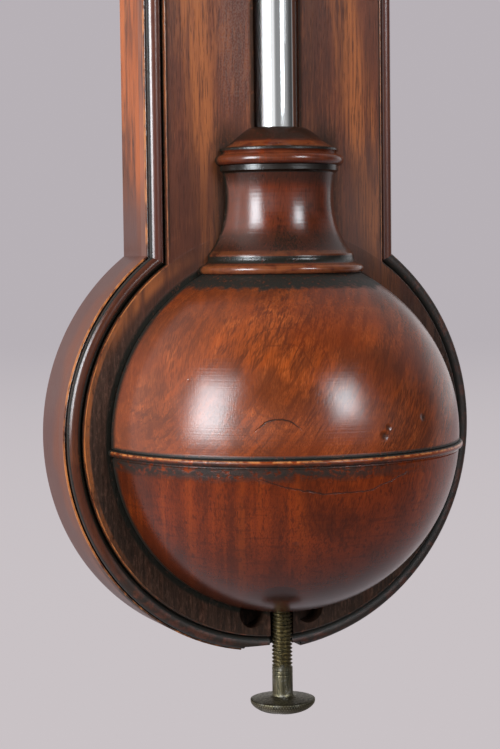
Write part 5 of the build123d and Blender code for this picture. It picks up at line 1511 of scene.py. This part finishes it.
class VernierMovement(bpy.types.Operator):
    """Model the knurled setting knob and finish the rack and pinion"""

    bl_idname = "barometer.vernier_movement"
    bl_label = "Vernier Movement"

    def execute(self, context):
        centre = middle("vernier_knob")
        steps = 80
        outline = [(0, 0), (5.4, 0), (6.0, 0.3), (6.0, 0.9), (6.35, 1.2), (6.35, 5.6), (6.0, 5.9),
                   (5.6, 6.6), (5.0, 7.3), (4.0, 7.8), (3.4, 8.0), (3.0, 7.6), (1.5, 7.4), (0, 7.4)]
        knob = turned("knurled_setting_knob", outline, steps)
        knurl(knob, outline, steps, 0.14, 1.1, 5.7)
        placed(knob, centre.x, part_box("vernier_knob")[1].y, centre.z, turn=(90, 0, 0))
        seated(knob, "setting_knob", "brass", "vernier_knob", smooth=40)
        finish_of(brass, knob, "vernier_pinion", "vernier_rack", "arbor_bush")
        return {"FINISHED"}


class HangingAndScrews(bpy.types.Operator):
    """Finish the hanging plate and the wood screws at the back"""

    bl_idname = "barometer.hanging_and_screws"
    bl_label = "Hanging Plate and Screws"

    def execute(self, context):
        finish_of(brass, "hanging_plate")
        finish_of(steel, "cover_fixing_screws", "rack_cover_screws", "hanging_plate_screws",
                  "hinge_pins")
        return {"FINISHED"}


class Studio(bpy.types.Operator):
    """Set up the camera, the lamps, the backdrop and the floor"""

    bl_idname = "barometer.studio"
    bl_label = "Studio"

    def execute(self, context):
        studio = context.scene.barometer_studio
        self.camera(context, studio)
        target = Vector((0, FRONT_Y - 0.025, BASE_Z + 0.010))
        left, right = (-0.902, -0.318, 0.293), (0.309, -0.873, 0.377)
        for name, towards, power, size, core_size, core_share in (
            ("large_lamp", left, studio.main_power, (1.15, 1.70), (0.70, 1.10), 0.65),
            ("small_lamp", right, studio.small_power, (0.86, 1.06), (0.46, 0.58), 0.60),
        ):
            self.lamp(name, target, towards, 2.4, size, power)
            self.lamp(name + "_core", target, towards, 2.35, core_size, core_share * power)
        self.world(context, studio)
        self.floor(studio)
        context.scene.view_settings.view_transform = "Standard"
        return {"FINISHED"}

    def camera(self, context, studio):
        """A camera in front of the lower trunk, turned by the studio's angles."""
        sight = Vector((sin(studio.yaw) * cos(studio.pitch), cos(studio.yaw) * cos(studio.pitch),
                        -sin(studio.pitch)))
        right = sight.cross(Vector((0, 0, 1))).normalized()
        up = right.cross(sight)
        turned_right = right * cos(studio.roll) + up * sin(studio.roll)
        turned_up = up * cos(studio.roll) - right * sin(studio.roll)
        lens = bpy.data.cameras.new("front_camera")
        lens.lens = studio.lens
        lens.sensor_width = 36.0
        lens.clip_start = 0.01
        camera = bpy.data.objects.new("front_camera", lens)
        context.scene.collection.objects.link(camera)
        place = Vector((studio.camera_side, FRONT_Y - studio.camera_out, BASE_Z + studio.camera_rise))
        turn = Matrix((turned_right, turned_up, -sight)).transposed().to_4x4()
        camera.matrix_world = Matrix.Translation(place) @ turn
        context.scene.camera = camera

    def lamp(self, name, target, towards, reach, size, power):
        """A soft oblong lamp that faces the target."""
        light = bpy.data.lights.new(name, "AREA")
        light.shape = "RECTANGLE"
        light.size, light.size_y = size
        light.energy = power
        light.color = LAMP_TINT
        lamp = bpy.data.objects.new(name, light)
        bpy.context.scene.collection.objects.link(lamp)
        away = Vector(towards).normalized()
        lamp.location = target + away * reach
        lamp.rotation_euler = away.to_track_quat("Z", "Y").to_euler()

    def world(self, context, studio):
        """A pale backdrop; in reflections, a room with windows at the left and a dark right side."""
        world = bpy.data.worlds.new("studio_world")
        world.use_nodes = True
        context.scene.world = world
        web = Web(world.node_tree)
        x, y, z = web.split(web.corner("Generated"))
        bearing = web.math("ARCTAN2", x, y * -1.0)
        levels = ((-150, 0.75), (-118, 0.50), (-96, 0.30), (-86, 1.10), (-36, 1.15), (-30, 0.60),
                  (-22, 0.34), (0, 0.34), (8, 0.62), (30, 0.60), (48, 0.36), (64, 0.12), (84, 0.05),
                  (94, 0.30), (110, 0.90))
        walls = web.ramp(web.math("MULTIPLY_ADD", bearing, 0.5 / pi, 0.5),
                         *((turn / 360 + 0.5, (level,) * 3) for turn, level in levels))
        near = abs(z - 0.09).step(0.26, 0.12)
        room = web.nodes["Background"]
        room.inputs["Color"].default_value = (1.0, 0.98, 1.0, 1)
        plain = y.step(-0.65, 0.30, least=0.05) * 0.46
        web.feed(room.inputs["Strength"], near * walls + (1.0 - near) * plain)
        shown = web.nodes.new("ShaderNodeBackground")
        web.feed(shown.inputs["Color"], studio.backdrop)
        web.choose(web.seen(), room, shown, "World Output")

    def floor(self, studio):
        """A wide pale floor well below the hanging case, which fades into the backdrop."""
        bpy.ops.object.select_all(action="DESELECT")
        bpy.ops.mesh.primitive_circle_add(vertices=96, radius=14.0, fill_type="NGON",
                                          location=(0, 0, CAD_BOX[0].z - 0.33))
        floor = bpy.context.object
        floor.name = "studio_floor"
        bpy.ops.object.transform_apply(location=True)
        material = bpy.data.materials.new("studio_floor")
        material.use_nodes = True
        web = Web(material.node_tree)
        corner = web.corner("Object")
        y = web.split(corner)[1]
        span = web.length(web.mapped(corner, scale=(1, 1, 0)))
        paint = web.nodes.new("ShaderNodeVectorMath")
        paint.operation = "SCALE"
        web.feed(paint.inputs[0], web.mix(span.step(1.0, 9.0), studio.backdrop_low, studio.backdrop))
        web.feed(paint.inputs["Scale"], y.step(-0.8, 0.6, least=0.15) | web.seen())
        shader = web.nodes["Principled BSDF"]
        shader.inputs["Roughness"].default_value = 0.9
        glow = web.nodes.new("ShaderNodeEmission")
        for socket in (shader.inputs["Base Color"], glow.inputs["Color"]):
            web.feed(socket, paint.outputs[0])
        web.choose(span.step(0.4, 1.2), shader, glow, "Material Output")
        floor.data.materials.append(material)


OPERATORS = (
    CaseTimber, TurnedCover, HeadJoinery, Crown, GlazedDoor, TubeAndMercury, PortableScrew, Cistern,
    Register, VernierMovement, HangingAndScrews, Studio,
)
SETTINGS = {
    "barometer_timber": TimberSettings,
    "barometer_metal": MetalSettings,
    "barometer_screw": ScrewSettings,
    "barometer_studio": StudioSettings,
}


class BarometerPanel(bpy.types.Panel):
    """Operators and settings of the barometer"""

    bl_idname = "VIEW3D_PT_barometer"
    bl_label = "Barometer"
    bl_space_type = "VIEW_3D"
    bl_region_type = "UI"
    bl_category = "Barometer"

    def draw(self, context):
        for operator in OPERATORS:
            self.layout.operator(operator.bl_idname)
        for name, group in SETTINGS.items():
            box = self.layout.box()
            for setting in group.__annotations__:
                box.prop(getattr(context.scene, name), setting)


def register():
    for name, group in SETTINGS.items():
        bpy.utils.register_class(group)
        setattr(bpy.types.Scene, name, PointerProperty(type=group))
    for operator in OPERATORS:
        bpy.utils.register_class(operator)
    bpy.utils.register_class(BarometerPanel)


def unregister():
    bpy.utils.unregister_class(BarometerPanel)
    for operator in reversed(OPERATORS):
        bpy.utils.unregister_class(operator)
    for name, group in SETTINGS.items():
        delattr(bpy.types.Scene, name)
        bpy.utils.unregister_class(group)


def main():
    register()
    bpy.ops.barometer.case_timber()
    bpy.ops.barometer.turned_cover()
    bpy.ops.barometer.head_joinery()
    bpy.ops.barometer.crown()
    bpy.ops.barometer.glazed_door()
    bpy.ops.barometer.tube_and_mercury()
    bpy.ops.barometer.portable_screw()
    bpy.ops.barometer.cistern()
    bpy.ops.barometer.register()
    bpy.ops.barometer.vernier_movement()
    bpy.ops.barometer.hanging_and_screws()
    bpy.ops.barometer.studio()


if __name__ == "__main__":
    main()
